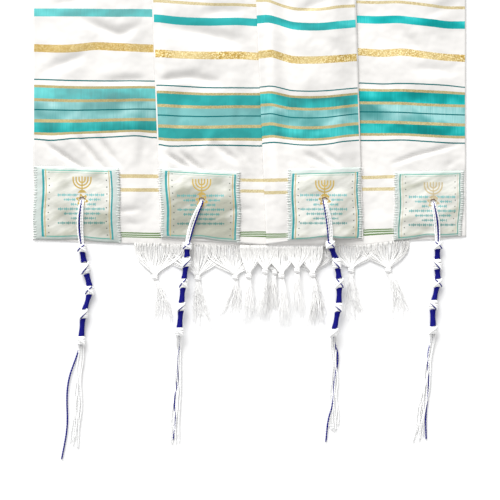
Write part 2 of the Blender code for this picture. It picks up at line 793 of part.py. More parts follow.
cloth = new_material("white satin cloth", (0.86, 0.86, 0.84), 0.55)
hidden = new_material("white cloth inside the pleat", (0.80, 0.80, 0.78), 0.60)
satin = new_material("silver-white satin square", (0.74, 0.76, 0.72), 0.40)
thread = new_material("white fringe thread", (0.90, 0.90, 0.88), 0.65)
cord = new_material("white and blue cord", (0.62, 0.64, 0.80), 0.60)

lower_half(cloth, parts)
upper_left(cloth, parts)
upper_right(cloth, parts)
pleat_layers(hidden, parts)
for square_name, square_layer, square_corners, square_hole in SQUARES:
    corner_square(square_name, square_layer, square_corners, square_hole, satin, parts, cutters)
fringe("lower_fringe", LOWER_HEM, LOWER_FRINGE, thread, parts)
fringe("upper_fringe", ((0.0, PLEAT_END_Y),), UPPER_FRINGE, thread, parts)
for tassel_data in TZITZIT:
    tzitzit(tassel_data, cord, parts)
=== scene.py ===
import math
import random
from functools import partialmethod

import bpy
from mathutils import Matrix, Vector


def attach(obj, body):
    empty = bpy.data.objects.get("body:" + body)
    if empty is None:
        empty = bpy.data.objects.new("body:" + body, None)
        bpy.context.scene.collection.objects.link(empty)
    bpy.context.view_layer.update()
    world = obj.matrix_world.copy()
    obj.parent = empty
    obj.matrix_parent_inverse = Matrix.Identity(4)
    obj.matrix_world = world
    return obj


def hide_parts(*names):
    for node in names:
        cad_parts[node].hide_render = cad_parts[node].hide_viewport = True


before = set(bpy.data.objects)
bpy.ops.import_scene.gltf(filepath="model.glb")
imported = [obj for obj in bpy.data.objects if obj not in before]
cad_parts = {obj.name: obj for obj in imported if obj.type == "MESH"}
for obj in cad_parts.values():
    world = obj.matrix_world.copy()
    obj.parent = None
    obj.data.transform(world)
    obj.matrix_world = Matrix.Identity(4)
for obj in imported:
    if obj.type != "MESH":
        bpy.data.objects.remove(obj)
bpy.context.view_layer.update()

# Lower half of the cloth
# One woven length of white polyester satin, 0.55 m wide between its selvedges and doubled over at the
# middle. This half lies on the surface, its stripes woven in across it, and it turns over at the fold.
WALL = 0.0010
SHELL = 0.0008
GAP = 0.0003
SELVEDGE = 0.275
HEM_Y = -0.2745
FOLD_Y = 0.5448
FOLD_RADIUS = 0.0026
LIP_Y = 0.5150
UPPER_LEVEL = WALL + GAP
OPENING_Y = 0.0381
OPENING_BEND = 0.25
LEVEL_END = -0.168
# Edges of the upper half at the hem, where the pleat starts to open, and at the fold
UPPER_EDGES = {
    "left": (-0.1120, -0.1238, -0.2750),
    "pleat": (0.0215, 0.0083, 0.1480),
    "right": (0.1445, 0.1353, 0.2750),
}
LOWER_HEM = (
    (-0.2750, -0.2667), (-0.2110, -0.2697), (-0.1700, -0.2716), (0.0000, -0.2750),
    (0.1500, -0.2742), (0.1900, -0.2685), (0.2320, -0.2665), (0.2750, -0.2623),
)
# Soft folds in millimetres and degrees: middle, turn from the X axis, length, width, height
LOWER_FOLDS = (
    (-232, -125, 50, 90, 44, 1.6), (-172, -60, -35, 90, 44, 1.3), (-200, 20, 70, 110, 44, 1.2),
    (228, -130, 14, 110, 44, 1.6), (205, -50, -62, 110, 44, 1.2), (238, 30, 80, 90, 44, 1.2),
)
# Sharper creases pressed in by packing, in the same columns; a trough has a negative height
LOWER_CREASES = (
    (-183, 1, -22, 80, 18, -3.4), (-152, 0, 24, 66, 18, -3), (-238, -43, 20, 90, 19, -3.2),
    (-146, -63, 3, 110, 15, -3.6), (-236, -159, -34, 86, 8.5, -5.2), (-198, -159, -52, 74, 9, -5.2),
    (-178, -155, -56, 60, 11, -4.6), (-135, -155, 84, 60, 16, -3), (-218, -150, -52, 60, 16, 1.4),
    (-210, -104, -60, 85, 20, 1.4), (-160, -104, 76, 80, 22, -1.7), (-258, -100, 84, 80, 20, -1.4),
    (-230, 36, 10, 90, 22, -2.6), (-131, 30, 78, 60, 18, -2.6), (206, -15, -52, 60, 20, -2),
    (243, -51, -4, 100, 20, -2.4), (198, -164, 21, 60, 8, -2.6), (243, -151, 15, 100, 7, -3),
    (262, -166, 32, 50, 10, -2.5), (190, -105, 74, 110, 22, 1), (232, -100, 80, 90, 22, -1.1),
    (160, -20, 86, 150, 22, -1.2), (250, 30, 24, 80, 20, -2.5), (-154, -229, 5, 40, 9, -2.5),
    (-146, -246, -3, 50, 9, -2.5), (160, -226, 84, 70, 14, -1.7),
)
RELIEF = 0.0044
# Where woven lines lie, in millimetres: distance from the hem along the cloth, then for places across it
# how far above its place in level cloth the line lies
LOWER_LINES = (
    (13.8, ((-275, 1.2), (-163, 0.6), (-115, -0.4), (120, 0.7), (144, 3.9), (184, 5.5), (275, 8.7))),
    (72.1, ((-275, -0.6), (-120, -1), (145, 0.2), (185, 0.4), (275, 1.4))),
    (87.9, ((-275, 1), (-120, 0.8), (145, -0.9), (185, 0.4), (275, 0.6))),
    (135.4, ((-270, 0.2), (-250, -1.4), (-224, 0.9), (-173, 3), (-143, 4.5), (-120, 2.2), (141, -1.5),
        (170, -1.5), (193, -1), (223, -2.8), (250, -4.5), (271, -4.9))),
    (149.8, ((-270, 1), (-224, 0.6), (-173, 2.3), (-128, 3), (141, 0.2), (170, 0), (193, -0.9), (223, -2.2),
        (250, -3.1), (271, -3.6))),
    (192.0, ((-270, 3.1), (-224, 1), (-173, 1.2), (-128, 2.1), (140, -1.7), (170, -2.3), (193, -2.8),
        (223, -4.5), (250, -5.5), (271, -5.9))),
    (209.2, ((-270, 2.6), (-224, 0.7), (-173, 0.1), (-128, 0.3), (139, -2.1), (170, -3.5), (190, -3),
        (223, -3.9), (250, -5.3), (271, -7.5))),
    (249.8, ((-270, 1.6), (-243, 0.3), (-224, 1), (-195, 4.1), (-173, 3.1), (-128, 1.3), (139, -3.1),
        (168, -5.1), (194, -3.9), (214, -6.3), (241, -9.8), (268, -11.4))),
    (294.6, ((-270, 2.1), (-224, 1.5), (-173, 0.7), (-128, 1.4), (139, -6.9), (161, -7.7), (188, -7.4),
        (206, -9.2), (232, -12), (250, -14.1), (268, -14.1))),
    (316.7, ((-270, 1.8), (-128, 0.8), (139, -6.8), (161, -7.7), (188, -7.3), (206, -8.9), (232, -12.1),
        (250, -14.4), (271, -14.3))),
)
# Above the woven lines the cloth lies straight from this distance on
STRAIGHT_FROM = 430.0
CLOTH_STEP = 0.0027
PLAIN_STEP = 0.0100
STRIPED_END = 0.330
FLAT_END = 0.7835


def along(table, x):
    """The value of a two-column table at x, on straight runs between its rows."""
    for (x0, y0), (x1, y1) in zip(table, table[1:]):
        if x <= x1:
            return y0 + (y1 - y0) * (max(x, x0) - x0) / (x1 - x0)
    return table[-1][1]


def eased(table, x):
    """The value of a two-column table at x, on one smooth curve through its rows."""
    x = min(max(x, table[0][0]), table[-1][0])
    k = next(i for i in range(1, len(table)) if x <= table[i][0])
    (x0, y0), (x1, y1), (x2, y2) = table[max(0, k - 2)], table[k - 1], table[k]
    x3, y3 = table[min(len(table) - 1, k + 1)]
    start = (y2 - y0) / (x2 - x0) * (x2 - x1)
    finish = (y3 - y1) / (x3 - x1) * (x2 - x1)
    t = (x - x1) / (x2 - x1)
    a = 2 * y1 - 2 * y2 + start + finish
    b = -3 * y1 + 3 * y2 - 2 * start - finish
    return ((a * t + b) * t + start) * t + y1


def soft_step(t):
    t = min(max(t, 0.0), 1.0)
    return t * t * (3 - 2 * t)


def mix(a, b, t):
    return a + (b - a) * t


def opening(y):
    """How far the pleat has opened: 0 where it is closed, 1 at the top fold."""
    t = max(0.0, (y - OPENING_Y) / (LIP_Y - OPENING_Y))
    return (math.hypot(t, OPENING_BEND) - OPENING_BEND) / (math.hypot(1, OPENING_BEND) - OPENING_BEND)


def edge(name, y):
    """Where an edge of the upper half runs at y: a straight lean below, a fan above."""
    at_hem, at_opening, at_fold = UPPER_EDGES[name]
    lean = (at_opening - at_hem) / (OPENING_Y - HEM_Y)
    straight_top = at_opening + lean * (LIP_Y - OPENING_Y)
    return at_opening + lean * (y - OPENING_Y) + (at_fold - straight_top) * opening(y)


def bumps(table, x, y, reach=math.inf, sharper=1.0):
    """Height of each fold or crease of a table at a point. reach is in half widths beside its line."""
    heights = [0.0]
    for middle_x, middle_y, turn, length, width, height in table:
        a, right, up = math.radians(turn), x * 1000 - middle_x, y * 1000 - middle_y
        run = abs(right * math.cos(a) + up * math.sin(a)) / (length / 2)
        side = (up * math.cos(a) - right * math.sin(a)) / (width / 2)
        if run < 1 and abs(side) < reach:
            heights.append(height / 1000 * soft_step(sharper * (1 - run)) * math.exp(-(side ** 2) * 2))
    return heights


def folds(table, x, y):
    """Height of a layer's soft folds, the same as the solid has."""
    return max(bumps(table, x, y)) * soft_step((y - LEVEL_END) / 0.030)


def pressed(table, x, y):
    """Height of the sharper creases, ridges and troughs together."""
    return sum(bumps(table, x, y, reach=1.8, sharper=1.15))


def line_y(lines, hem, x, distance):
    """Place along the shawl of a point of the cloth, from its distance to the hem."""
    knots = [(0.0, along(hem, x) * 1000)]
    knots += [(woven, HEM_Y * 1000 + woven + eased(shifts, x * 1000)) for woven, shifts in lines]
    knots += [(straight, HEM_Y * 1000 + straight) for straight in (STRAIGHT_FROM, STRAIGHT_FROM * 2)]
    return along(knots, distance * 1000) / 1000


def relief(table, hem, x, y):
    """Creases of one layer, with room for its troughs, level at its hem."""
    return max(0.0, RELIEF + pressed(table, x, y)) * soft_step((y - along(hem, x) - 0.002) / 0.060)


def lower_top(x, y):
    """Top of the lower half. Under the upper half it lies level."""
    beside = max(edge("left", y) - x, x - edge("right", y))
    soft = soft_step((beside - 0.010) / 0.024)
    clear = soft_step((beside - 0.004) / (0.032 if x < 0 else 0.060)) * soft_step((0.2756 - abs(x)) / 0.044)
    return WALL + folds(LOWER_FOLDS, x, y) * soft + relief(LOWER_CREASES, LOWER_HEM, x, y) * clear


def shares(count):
    """Even places from 0 to 1, count steps apart."""
    return [k / count for k in range(count + 1)]


def steps(start, *runs):
    """Values from start on, through runs that are each an end and its longest step."""
    values = [start]
    for end, longest in runs:
        start = values[-1]
        count = max(1, math.ceil(abs(end - start) / longest - 1e-9))
        values += [mix(start, end, t) for t in shares(count)[1:]]
    return values


def new_piece(name, points, faces, finishes, **places):
    """A smooth mesh in the scene. places are vectors for each point, under the names that finishes read."""
    mesh = bpy.data.meshes.new(name)
    mesh.from_pydata(points, [], faces)
    for key, rows in places.items():
        attribute = mesh.attributes.new(key, "FLOAT_VECTOR", "POINT")
        attribute.data.foreach_set("vector", [value for row in rows for value in row])
    for finish in finishes:
        mesh.materials.append(finish)
    mesh.shade_smooth()
    piece = bpy.data.objects.new(name, mesh)
    bpy.context.scene.collection.objects.link(piece)
    return piece


def thicken(piece, thickness, offset=-1, even=False):
    """Gives a sheet its thickness, all of it on the side away from its normal where offset is -1."""
    wall = piece.modifiers.new("wall", "SOLIDIFY")
    wall.thickness = thickness
    wall.offset = offset
    wall.use_even_offset = even
    return piece


def grid_faces(wide, tall):
    """The faces of a grid of points, row after row."""
    first = [j * wide + i for j in range(tall - 1) for i in range(wide - 1)]
    return [(a, a + 1, a + 1 + wide, a + wide) for a in first]


def cloth_shell(name, columns, rows, place, thickness=SHELL, offset=-1):
    """A grid of cloth points with a thickness. place gives a point's position and its place in the weave:
    across, from the hem and from the nearest selvedge."""
    grid = [place(column, row) for row in rows for column in columns]
    faces = grid_faces(len(columns), len(rows))
    weave = [[value * 1000 for value in woven] for _, woven in grid]
    piece = new_piece(name, [position for position, _ in grid], faces, [cloth_finish], weave_place=weave)
    return thicken(piece, thickness, offset, even=True)


def lower_place(x, step):
    """A point of the flat part, of the turn at the fold, or of the lip that ends behind it."""
    part, value = step
    if part == "flat":
        y = line_y(LOWER_LINES, LOWER_HEM, x, value)
        height, distance = lower_top(x, y) - SHELL, value
    elif part == "turn":
        y = FOLD_Y - FOLD_RADIUS + FOLD_RADIUS * math.cos(value)
        height, distance = FOLD_RADIUS * (1 + math.sin(value)), FLAT_END + FOLD_RADIUS * (value + 1)
    else:
        y = mix(FOLD_Y - FOLD_RADIUS, LIP_Y + GAP, value)
        height = mix(2 * FOLD_RADIUS, UPPER_LEVEL + WALL, soft_step(value))
        distance = FLAT_END + FOLD_RADIUS * 3 + (FOLD_Y - y)
    return Vector((x, y, height)), (x, distance, SELVEDGE - abs(x))


class Sample:
    """A value that changes over a surface. Sums on it add Math nodes; node() adds any other node."""

    def __init__(self, tree, out=None):
        self.tree, self.out = tree, out

    def node(self, kind, settings=None, sockets=None, output=0):
        made = self.tree.nodes.new("ShaderNode" + kind)
        for key, value in (settings or {}).items():
            if key == "stops":
                ramp = made.color_ramp
                while len(ramp.elements) < len(value):
                    ramp.elements.new(1.0)
                for element, (place, colour) in zip(ramp.elements, value):
                    element.position = place
                    element.color = (*colour, 1.0)
            else:
                setattr(made.color_ramp if key == "interpolation" else made, key, value)
        for key, value in (sockets or {}).items():
            if isinstance(value, Sample):
                self.tree.links.new(value.out, made.inputs[key])
            elif value is not None:
                made.inputs[key].default_value = value
        return Sample(self.tree, made.outputs[output])

    def sum(self, operation, other=None):
        return self.node("Math", {"operation": operation}, {0: self, 1: other})

    def __rsub__(self, other):
        return self.node("Math", {"operation": "SUBTRACT"}, {0: other, 1: self})

    __add__ = __radd__ = partialmethod(sum, "ADD")
    __sub__ = partialmethod(sum, "SUBTRACT")
    __mul__ = __rmul__ = partialmethod(sum, "MULTIPLY")
    __truediv__ = partialmethod(sum, "DIVIDE")
    __pow__ = partialmethod(sum, "POWER")
    __abs__ = partialmethod(sum, "ABSOLUTE")
    __lt__ = partialmethod(sum, "LESS_THAN")
    __gt__ = partialmethod(sum, "GREATER_THAN")
    lesser = partialmethod(sum, "MINIMUM")
    greater = partialmethod(sum, "MAXIMUM")
    turn_of = partialmethod(sum, "ARCTAN2")
    fract = partialmethod(sum, "FRACT")
    floor = partialmethod(sum, "FLOOR")
    sine = partialmethod(sum, "SINE")

    def limited(self, low, high):
        return self.greater(low).lesser(high)

    def within(self, low, high):
        """1 between two places, 0 outside them."""
        return (self > low) * (self < high)

    def vector(self, operation, other=None):
        return self.node("VectorMath", {"operation": operation}, {0: self, 1: other})

    def stretch(self, x, y, z=1.0):
        return self.vector("MULTIPLY", (x, y, z))

    def xyz(self):
        made = self.node("SeparateXYZ", None, {0: self}).out.node
        return [Sample(self.tree, out) for out in made.outputs]

    def noise(self, scale, detail=2.0, roughness=0.5):
        """Uneven values from 0 to 1 over a vector."""
        sockets = {"Vector": self, "Scale": scale, "Detail": detail, "Roughness": roughness}
        return self.node("TexNoise", None, sockets)

    def cells(self):
        """A random value from 0 to 1 for each whole step of a vector."""
        return self.node("TexWhiteNoise", {"noise_dimensions": "3D"}, {"Vector": self.vector("FLOOR")})

    def tint(self, first, second):
        """A colour from first, where this is 0, to second, where it is 1."""
        colours = {6: first, 7: second}
        colours = {k: (*v, 1.0) if isinstance(v, tuple) else v for k, v in colours.items()}
        return self.node("Mix", {"data_type": "RGBA"}, {0: self, **colours}, output=2)

    def times(self, colour):
        """A colour made darker or lighter by this value."""
        return self.node("CombineXYZ", None, {0: self, 1: self, 2: self}).vector("MULTIPLY", colour)

    def attribute(self, name):
        return self.node("Attribute", {"attribute_name": name}, output=1)

    def bump(self, strength=1.0, distance=0.001):
        return self.node("Bump", None, {"Strength": strength, "Distance": distance, "Height": self})


def new_finish(name, roughness=0.6, sheen=0.0, specular=0.5):
    """A material with a Principled shader. Returns it, its shader and a Sample that starts its sums."""
    material = bpy.data.materials.new(name)
    material.use_nodes = True
    shader = material.node_tree.nodes["Principled BSDF"]
    for key, value in (("Roughness", roughness), ("Sheen Weight", sheen), ("Specular IOR Level", specular)):
        shader.inputs[key].default_value = value
    return material, shader, Sample(material.node_tree)


def feed(shader, **values):
    """Links values to a shader's sockets, by their names with _ for a space."""
    for key, value in values.items():
        value.tree.links.new(value.out, shader.inputs[key.replace("_", " ")])


# The woven stripes of the middle band, in millimetres from the hem: start, then what is woven from there
YARNS = {
    "white": (0.740, 0.724, 0.702),
    "gold": (0.385, 0.345, 0.180),
    "teal": (0.006, 0.345, 0.340),
    "pale teal": (0.160, 0.410, 0.405),
    "deep teal": (0.006, 0.310, 0.302),
    "teal line": (0.003, 0.135, 0.140),
}
BAND_START = 130.0
BAND_LENGTH = 85.0
BAND = (
    (130.0, "white"), (134.5, "teal line"), (136.2, "white"), (140.7, "gold"), (143.7, "deep teal"),
    (155.8, "gold"), (159.6, "pale teal"), (170.3, "teal line"), (171.9, "pale teal"), (181.2, "gold"),
    (184.9, "teal"), (198.4, "gold"), (201.8, "white"), (208.3, "teal line"), (210.0, "white"),
)
# Stripes outside the band: gold ones as start and end, the teal one, the green lines
GOLD_STRIPES = ((69.9, 74.3), (85.7, 90.1), (244.9, 254.8), (315.0, 318.5))
TEAL_STRIPE = (289.6, 299.6)
GREEN_GROUND = (10.1, 17.5)
GREEN_PITCH = 2.85


def band_ramp(distance, colour_of):
    """A colour for each stripe of the band, level between its edges."""
    stops = []
    for start, yarn in BAND:
        colour = colour_of(yarn)
        if not stops or stops[-1][1] != colour:
            stops.append(((start - BAND_START) / BAND_LENGTH, colour))
    place = (distance - BAND_START) / BAND_LENGTH
    return place.node("ValToRGB", {"interpolation": "CONSTANT", "stops": stops}, {0: place})


def shawl_cloth():
    """White satin with woven teal stripes, lurex gold and three green lines above the hem."""
    material, shader, sample = new_finish("shawl_cloth", roughness=0.45, specular=0.12)
    place = sample.attribute("weave_place")
    across, distance, from_selvedge = place.xyz()
    at_a, at_b, at_c = across < -100.0, across.within(300.0, 600.0), across > 600.0
    woven = distance + (place.stretch(1.0, 0.02, 0.0).noise(0.9, 1.0) - 0.5) * 0.6
    inside = from_selvedge > 1.5
    in_band = woven.within(BAND_START + 0.5, BAND_START + BAND_LENGTH - 2.0) * inside

    def share_of(*yarns):
        return band_ramp(woven, lambda yarn: (float(yarn in yarns),) * 3) * in_band

    colour = in_band.tint(YARNS["white"], band_ramp(woven, YARNS.get))
    teal_stripe = woven.within(*TEAL_STRIPE) * inside
    colour = teal_stripe.tint(colour, (0.010, 0.395, 0.395))
    dyed = share_of("teal", "pale teal", "deep teal").greater(teal_stripe)
    lurex = share_of("gold")
    # The stripes next to the hem end before the outer selvedges, under the squares
    short = (abs(abs(across) - SELVEDGE * 1000) > 7.0).greater(woven > 100.0) * inside
    for stripe in GOLD_STRIPES:
        lurex = lurex.greater(woven.within(*stripe) * short)
    # Painted sheen: the dyed stripes are painted lighter and darker in long soft patches, with fine streaks
    # along the warp threads, which deepens their colour more than it greys it
    painted_lustre = place.stretch(1.0, 1.5, 0.0).noise(0.021, 2.0, 0.5)
    streaks = place.stretch(1.0, 0.04, 0.0).noise(0.60, 2.0, 0.6)
    painted_sheen = (1.06 - (painted_lustre - 0.5) * 3.0).limited(0.72, 1.45) + (streaks - 0.5) * 0.55
    painted_sheen = painted_sheen + at_b * (painted_sheen.limited(1.06, 1.16) - painted_sheen)
    # Painted glare: the dyed stripes whitened a little, on the lower half's left panel more the further from
    # the hem
    painted_glare = (at_a * ((distance - 140.0) / 350.0).limited(0.0, 0.15)).greater((across > 300.0) * 0.03)
    sheen_painted_colour = painted_sheen.node("Gamma", None, {0: colour, 1: painted_sheen})
    colour = dyed.tint(colour, painted_glare.tint(sheen_painted_colour, (0.75, 0.95, 0.92)))
    # Foil yarn, with painted glints: dark gaps and bright specks, browner in some places than others
    painted_glint = place.stretch(0.95, 1.15, 0.0).cells()
    foil = painted_glint.node("ValToRGB", {"stops": (
        (0.05, (0.330, 0.180, 0.025)), (0.35, (0.560, 0.370, 0.090)),
        (0.65, (0.720, 0.540, 0.200)), (0.95, (1.000, 0.900, 0.560)),
    )}, {0: painted_glint})
    pale_foil = ((place.stretch(1.0, 0.6, 0.0).noise(0.020, 1.0) - 0.5) * 4.0 + 0.5).limited(0.0, 1.0)
    for share, tone in (
        (pale_foil * 0.50, (0.790, 0.670, 0.370)),
        (at_a * 0.45, (0.500, 0.330, 0.090)),
        (at_c * 0.20, (0.400, 0.300, 0.100)),
        (in_band * 0.72, YARNS["gold"]),
        ((woven < 100.0).greater(woven > 300.0) * 0.62, (0.590, 0.530, 0.340)),
    ):
        foil = share.tint(foil, tone)
    colour = lurex.tint(colour, foil)
    # Green: three lines on a pale ground
    ground = woven.within(*GREEN_GROUND) * short
    line = (((woven - GREEN_GROUND[0]) / GREEN_PITCH).fract() < 0.54) * ground
    colour = (ground * 0.35).tint(colour, (0.360, 0.520, 0.310))
    colour = line.tint(colour, (0.110, 0.190, 0.060))
    # Painted light: the hem's cut edge, which stands in shade, is coloured near white
    colour = (distance < 0.8).tint(colour, (0.960, 0.955, 0.945))
    # Satin face: fine ribs across and along, with small hollows between the main creases
    ribs = (across * (math.tau / 0.9)).sine() + (distance * (math.tau / 0.7)).sine()
    hollows = place.stretch(1.0, 1.0, 0.0).noise(0.030, 2.0, 0.5)
    swells = place.stretch(0.7, 1.0, 0.0).noise(0.013, 1.0)
    feed(shader, Base_Color=colour, Roughness=0.45 - 0.10 * lurex - 0.06 * dyed, Metallic=0.20 * lurex)
    feed(shader, Normal=(0.010 * ribs + 2.8 * hollows + 8.0 * swells).bump())
    return material


cloth_finish = shawl_cloth()
lower_rows = [("flat", d) for d in steps(0.0, (STRIPED_END, CLOTH_STEP), (FLAT_END, PLAIN_STEP))]
lower_rows += [("turn", math.radians(a)) for a in range(-60, 91, 15)]
lower_rows += [("lip", t) for t in steps(0.0, (1.0, 0.1))[1:]]
# The face with the normal is the underside, which the cloth shows outside where it turns over
lower_columns = steps(SELVEDGE, (-SELVEDGE, CLOTH_STEP))
lower_half = cloth_shell("lower_half_cloth", lower_columns, lower_rows, lower_place)
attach(lower_half, "root")
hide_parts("lower_half")

# Upper half, left stretch
# The other half of the same cloth, folded back over the first. This stretch runs from its left
# selvedge to where it passes under the pleat.
PLEAT_OVERLAP = 0.088
PLEAT_JOIN_Y = 0.430
PLEAT_LEVEL = UPPER_LEVEL + WALL + GAP
PLEAT_HEIGHT = 0.0024
PLEAT_SLOPE = 0.035
PLEAT_CLEAR = 0.006
UPPER_END = 0.7895
LEFT_HEM = ((-0.1240, -0.2640), (-0.0120, -0.2705), (0.0160, -0.2740), (0.1200, -0.2740))
LEFT_FOLDS = (
    (-76, -128, 62, 80, 44, 1.4), (-34, -100, -28, 90, 44, 1.2), (-62, -35, 25, 100, 48, 1.4),
    (-80, 180, 74, 300, 60, 2.2), (20, 300, 64, 260, 56, 2), (-170, 330, 118, 240, 60, 1.8),
)
LEFT_CREASES = (
    (-52, -7, -13, 170, 24, -3.8), (-26, 23, 2, 90, 18, -2.5), (-92, -61, 8, 76, 14, -3.8),
    (-60, -63, -8, 60, 14, -3), (-90, -167, -35, 44, 8.5, -4.6), (-73, -168, -42, 46, 8.5, -4.4),
    (-30, -156, -40, 52, 12, -3.4), (-3, -164, -56, 52, 12, -3.4), (-50, -140, 66, 50, 14, 1.4),
    (-88, -105, 80, 90, 20, -1.6), (-48, -100, -74, 80, 22, 1.4), (-12, -105, 82, 80, 18, -1.6),
    (1, -228, -4, 46, 10, -2.5), (-2, -248, -8, 40, 10, -1.9), (-60, 80, 84, 120, 20, -2.5),
    (-130, 200, 112, 200, 22, -2.9), (-20, 230, 74, 180, 22, -2.8), (-60, 400, 96, 160, 24, -2.6),
)
LEFT_LINES = (
    (13.8, ((-115, 0), (10, 1.6))),
    (72.1, ((-115, -1.6), (10, -2.3))),
    (87.9, ((-115, -2.4), (10, -4.5))),
    (135.4, ((-114, -6.7), (-101, -9), (-51, -7.7), (-13, -8.1), (12, -8.6))),
    (149.8, ((-114, -5.6), (-89, -6.9), (-51, -7.1), (-13, -6.1), (12, -5.7))),
    (192.0, ((-114, -4.6), (-89, -6.1), (-51, -7.4), (-13, -6.7), (12, -6.7))),
    (209.2, ((-114, -5.1), (-89, -6.5), (-51, -8.5), (12, -8.5))),
    (249.8, ((-114, -5.5), (-89, -7.3), (-51, -8.4), (-13, -7.8), (12, -9.2))),
    (294.6, ((-119, -5.6), (-89, -9.3), (-51, -10.6), (-13, -9.8), (8, -10.8))),
    (316.7, ((-118, -6), (-51, -10.4), (-13, -10.8), (8, -11.7))),
)


def left_top(x, y):
    """Top of the upper half's left stretch."""
    clear = soft_step((edge("pleat", y) - PLEAT_CLEAR - x) / 0.030) * soft_step((x - edge("left", y)) / 0.014)
    raised = folds(LEFT_FOLDS, x, y) + relief(LEFT_CREASES, LEFT_HEM, x, y)
    return UPPER_LEVEL + WALL + raised * clear


def left_place(column, distance):
    shown, hidden = column
    level_y = HEM_Y + distance
    closed = min(1.0, max(0.0, (PLEAT_JOIN_Y - level_y) / (PLEAT_JOIN_Y - OPENING_Y)))
    under = mix(-GAP, PLEAT_OVERLAP, closed)
    x = mix(edge("left", level_y), edge("pleat", level_y) - PLEAT_CLEAR, shown)
    x = mix(x, edge("pleat", level_y) + under, hidden)
    y = min(line_y(LEFT_LINES, LEFT_HEM, x, distance), LIP_Y)
    return Vector((x, y, left_top(x, y))), (x + 0.5, distance, x - edge("left", y))


upper_rows = steps(0.0, (STRIPED_END, CLOTH_STEP), (UPPER_END, PLAIN_STEP))
left_columns = [(share, 0.0) for share in steps(0.0, (1.0, 0.018))] + [(1.0, t) for t in shares(8)[1:]]
upper_left = cloth_shell("upper_left_cloth", left_columns, upper_rows, left_place)
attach(upper_left, "root")
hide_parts("upper_half_left")

# Upper half, right stretch
# It runs from the pleat's rounded fold, which stands on the layers below it, to the right selvedge,
# and lies down onto the lower half beside the pleat.
RIGHT_WIDTH = 0.123
ROLL_HEIGHT = 0.0012
RIGHT_HEM = ((0.0215, -0.2725), (0.0490, -0.2680), (0.1020, -0.2640), (0.1445, -0.2665))
RIGHT_FOLDS = (
    (52, -30, 100, 120, 44, 1.2), (90, -110, 20, 80, 40, 1.2), (150, 220, 70, 260, 56, 1.8),
    (225, 400, 62, 160, 50, 1.4),
)
RIGHT_CREASES = (
    (45, -60, 92, 330, 32, -4.2), (84, -165, -30, 50, 11, -3), (104, -163, -38, 40, 10, -2.6),
    (70, -70, 62, 70, 20, 1), (104, -20, -40, 80, 24, -1.6), (80, 30, 24, 70, 18, -2),
    (118, -105, 82, 90, 18, 1.4), (90, -105, -80, 80, 20, -1), (36, -222, 88, 70, 16, -2),
    (120, 110, 86, 160, 22, -2.5), (130, 300, 70, 180, 24, -2.6), (200, 330, 60, 160, 24, -2.5),
)
RIGHT_LINES = (
    (13.8, ((14, -1.3), (145, -0.3))),
    (72.1, ((20, -4.6), (140, -2.2))),
    (87.9, ((20, -4.5), (140, -2.8))),
    (135.4, ((16, -6.1), (27, -4.2), (43, -5.3), (61, -7.2), (79, -7.8), (100, -6.3), (118, -3.1), (139, -1))),
    (149.8, ((14, -5.2), (26, -2.6), (40, -4.8), (54, -6.9), (75, -7.6), (100, -6.5), (122, -3.3),
        (134, -1.9))),
    (192.0, ((14, -5), (26, -4.6), (40, -7.4), (54, -9.8), (75, -10.8), (100, -9.8), (122, -7.2), (134, -5.4))),
    (209.2, ((14, -8), (26, -6.7), (40, -9.2), (54, -12.4), (75, -13.3), (100, -12.4), (122, -10.1),
        (134, -8.7))),
    (249.8, ((14, -7.3), (26, -6), (36, -8.4), (54, -13.8), (72, -14.5), (93, -13.9), (115, -12.3),
        (132, -10.5))),
    (294.6, ((11, -7.8), (22, -6.9), (36, -9.9), (54, -15.5), (72, -17.1), (93, -16.9), (115, -14.6),
        (132, -12.5))),
    (316.7, ((12, -5.5), (22, -5.9), (36, -10.8), (54, -16.2), (72, -17.4), (93, -16.9), (115, -13.4),
        (132, -12.1))),
)
# Distance from the fold once rolled, how far down its rounded side, distance where it lies level
ROLL = (
    (0.0000, 1.00, 0.0000), (0.0000, 0.72, 0.0007), (0.0000, 0.45, 0.0014), (0.0002, 0.26, 0.0021),
    (0.0006, 0.12, 0.0028), (0.0013, 0.03, 0.0036), (0.0022, 0.00, 0.0044),
)


def pleat_share(y):
    """1 where the pleat is closed, 0 where it has opened out."""
    return 1 - soft_step((y - OPENING_Y) / (PLEAT_JOIN_Y - OPENING_Y))


def hidden_height(y):
    """Height of the hidden layers between the two stretches."""
    return mix(0.0010, PLEAT_HEIGHT, pleat_share(y))


def right_top(x, y):
    """Top of the upper half's right stretch: over the hidden layers, then down to the lower half."""
    side = x - edge("pleat", y)
    low = UPPER_LEVEL + WALL
    over_hidden = PLEAT_LEVEL + WALL + hidden_height(y) + GAP
    high = mix(over_hidden, low, soft_step((y - PLEAT_JOIN_Y) / (LIP_Y - 0.020 - PLEAT_JOIN_Y)))
    slope = soft_step((side - PLEAT_OVERLAP) / PLEAT_SLOPE)
    clear = soft_step((side - 0.006) / 0.014) * mix(0.12, 1.0, soft_step((edge("right", y) - x) / 0.030))
    raised = folds(RIGHT_FOLDS, x, y) + relief(RIGHT_CREASES, RIGHT_HEM, x, y)
    return mix(high, low, slope) + raised * clear


def right_place(column, distance):
    rolled_side, drop, level_side = column
    pleat_x = edge("pleat", HEM_Y + distance)
    y = min(line_y(RIGHT_LINES, RIGHT_HEM, pleat_x + min(level_side, RIGHT_WIDTH), distance), LIP_Y)
    rise = right_top(edge("pleat", y) + min(level_side, RIGHT_WIDTH), y) - PLEAT_LEVEL - WALL
    rolled = min(1.0, max(0.0, rise / ROLL_HEIGHT))
    x = min(edge("pleat", y) + mix(level_side, rolled_side, rolled), edge("right", y))
    top = right_top(x, y)
    foot = PLEAT_LEVEL + GAP * (1 - pleat_share(y))
    return Vector((x, y, top - (top - foot) * drop * rolled)), (x + 1.1, distance, edge("right", y) - x)


right_columns = list(ROLL) + [(d, 0.0, d) for d in steps(0.0044, (RIGHT_WIDTH, CLOTH_STEP))[1:]]
right_columns.append((1.0, 0.0, 1.0))
upper_right = cloth_shell("upper_right_cloth", right_columns, upper_rows, right_place)
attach(upper_right, "root")
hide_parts("upper_half_right")

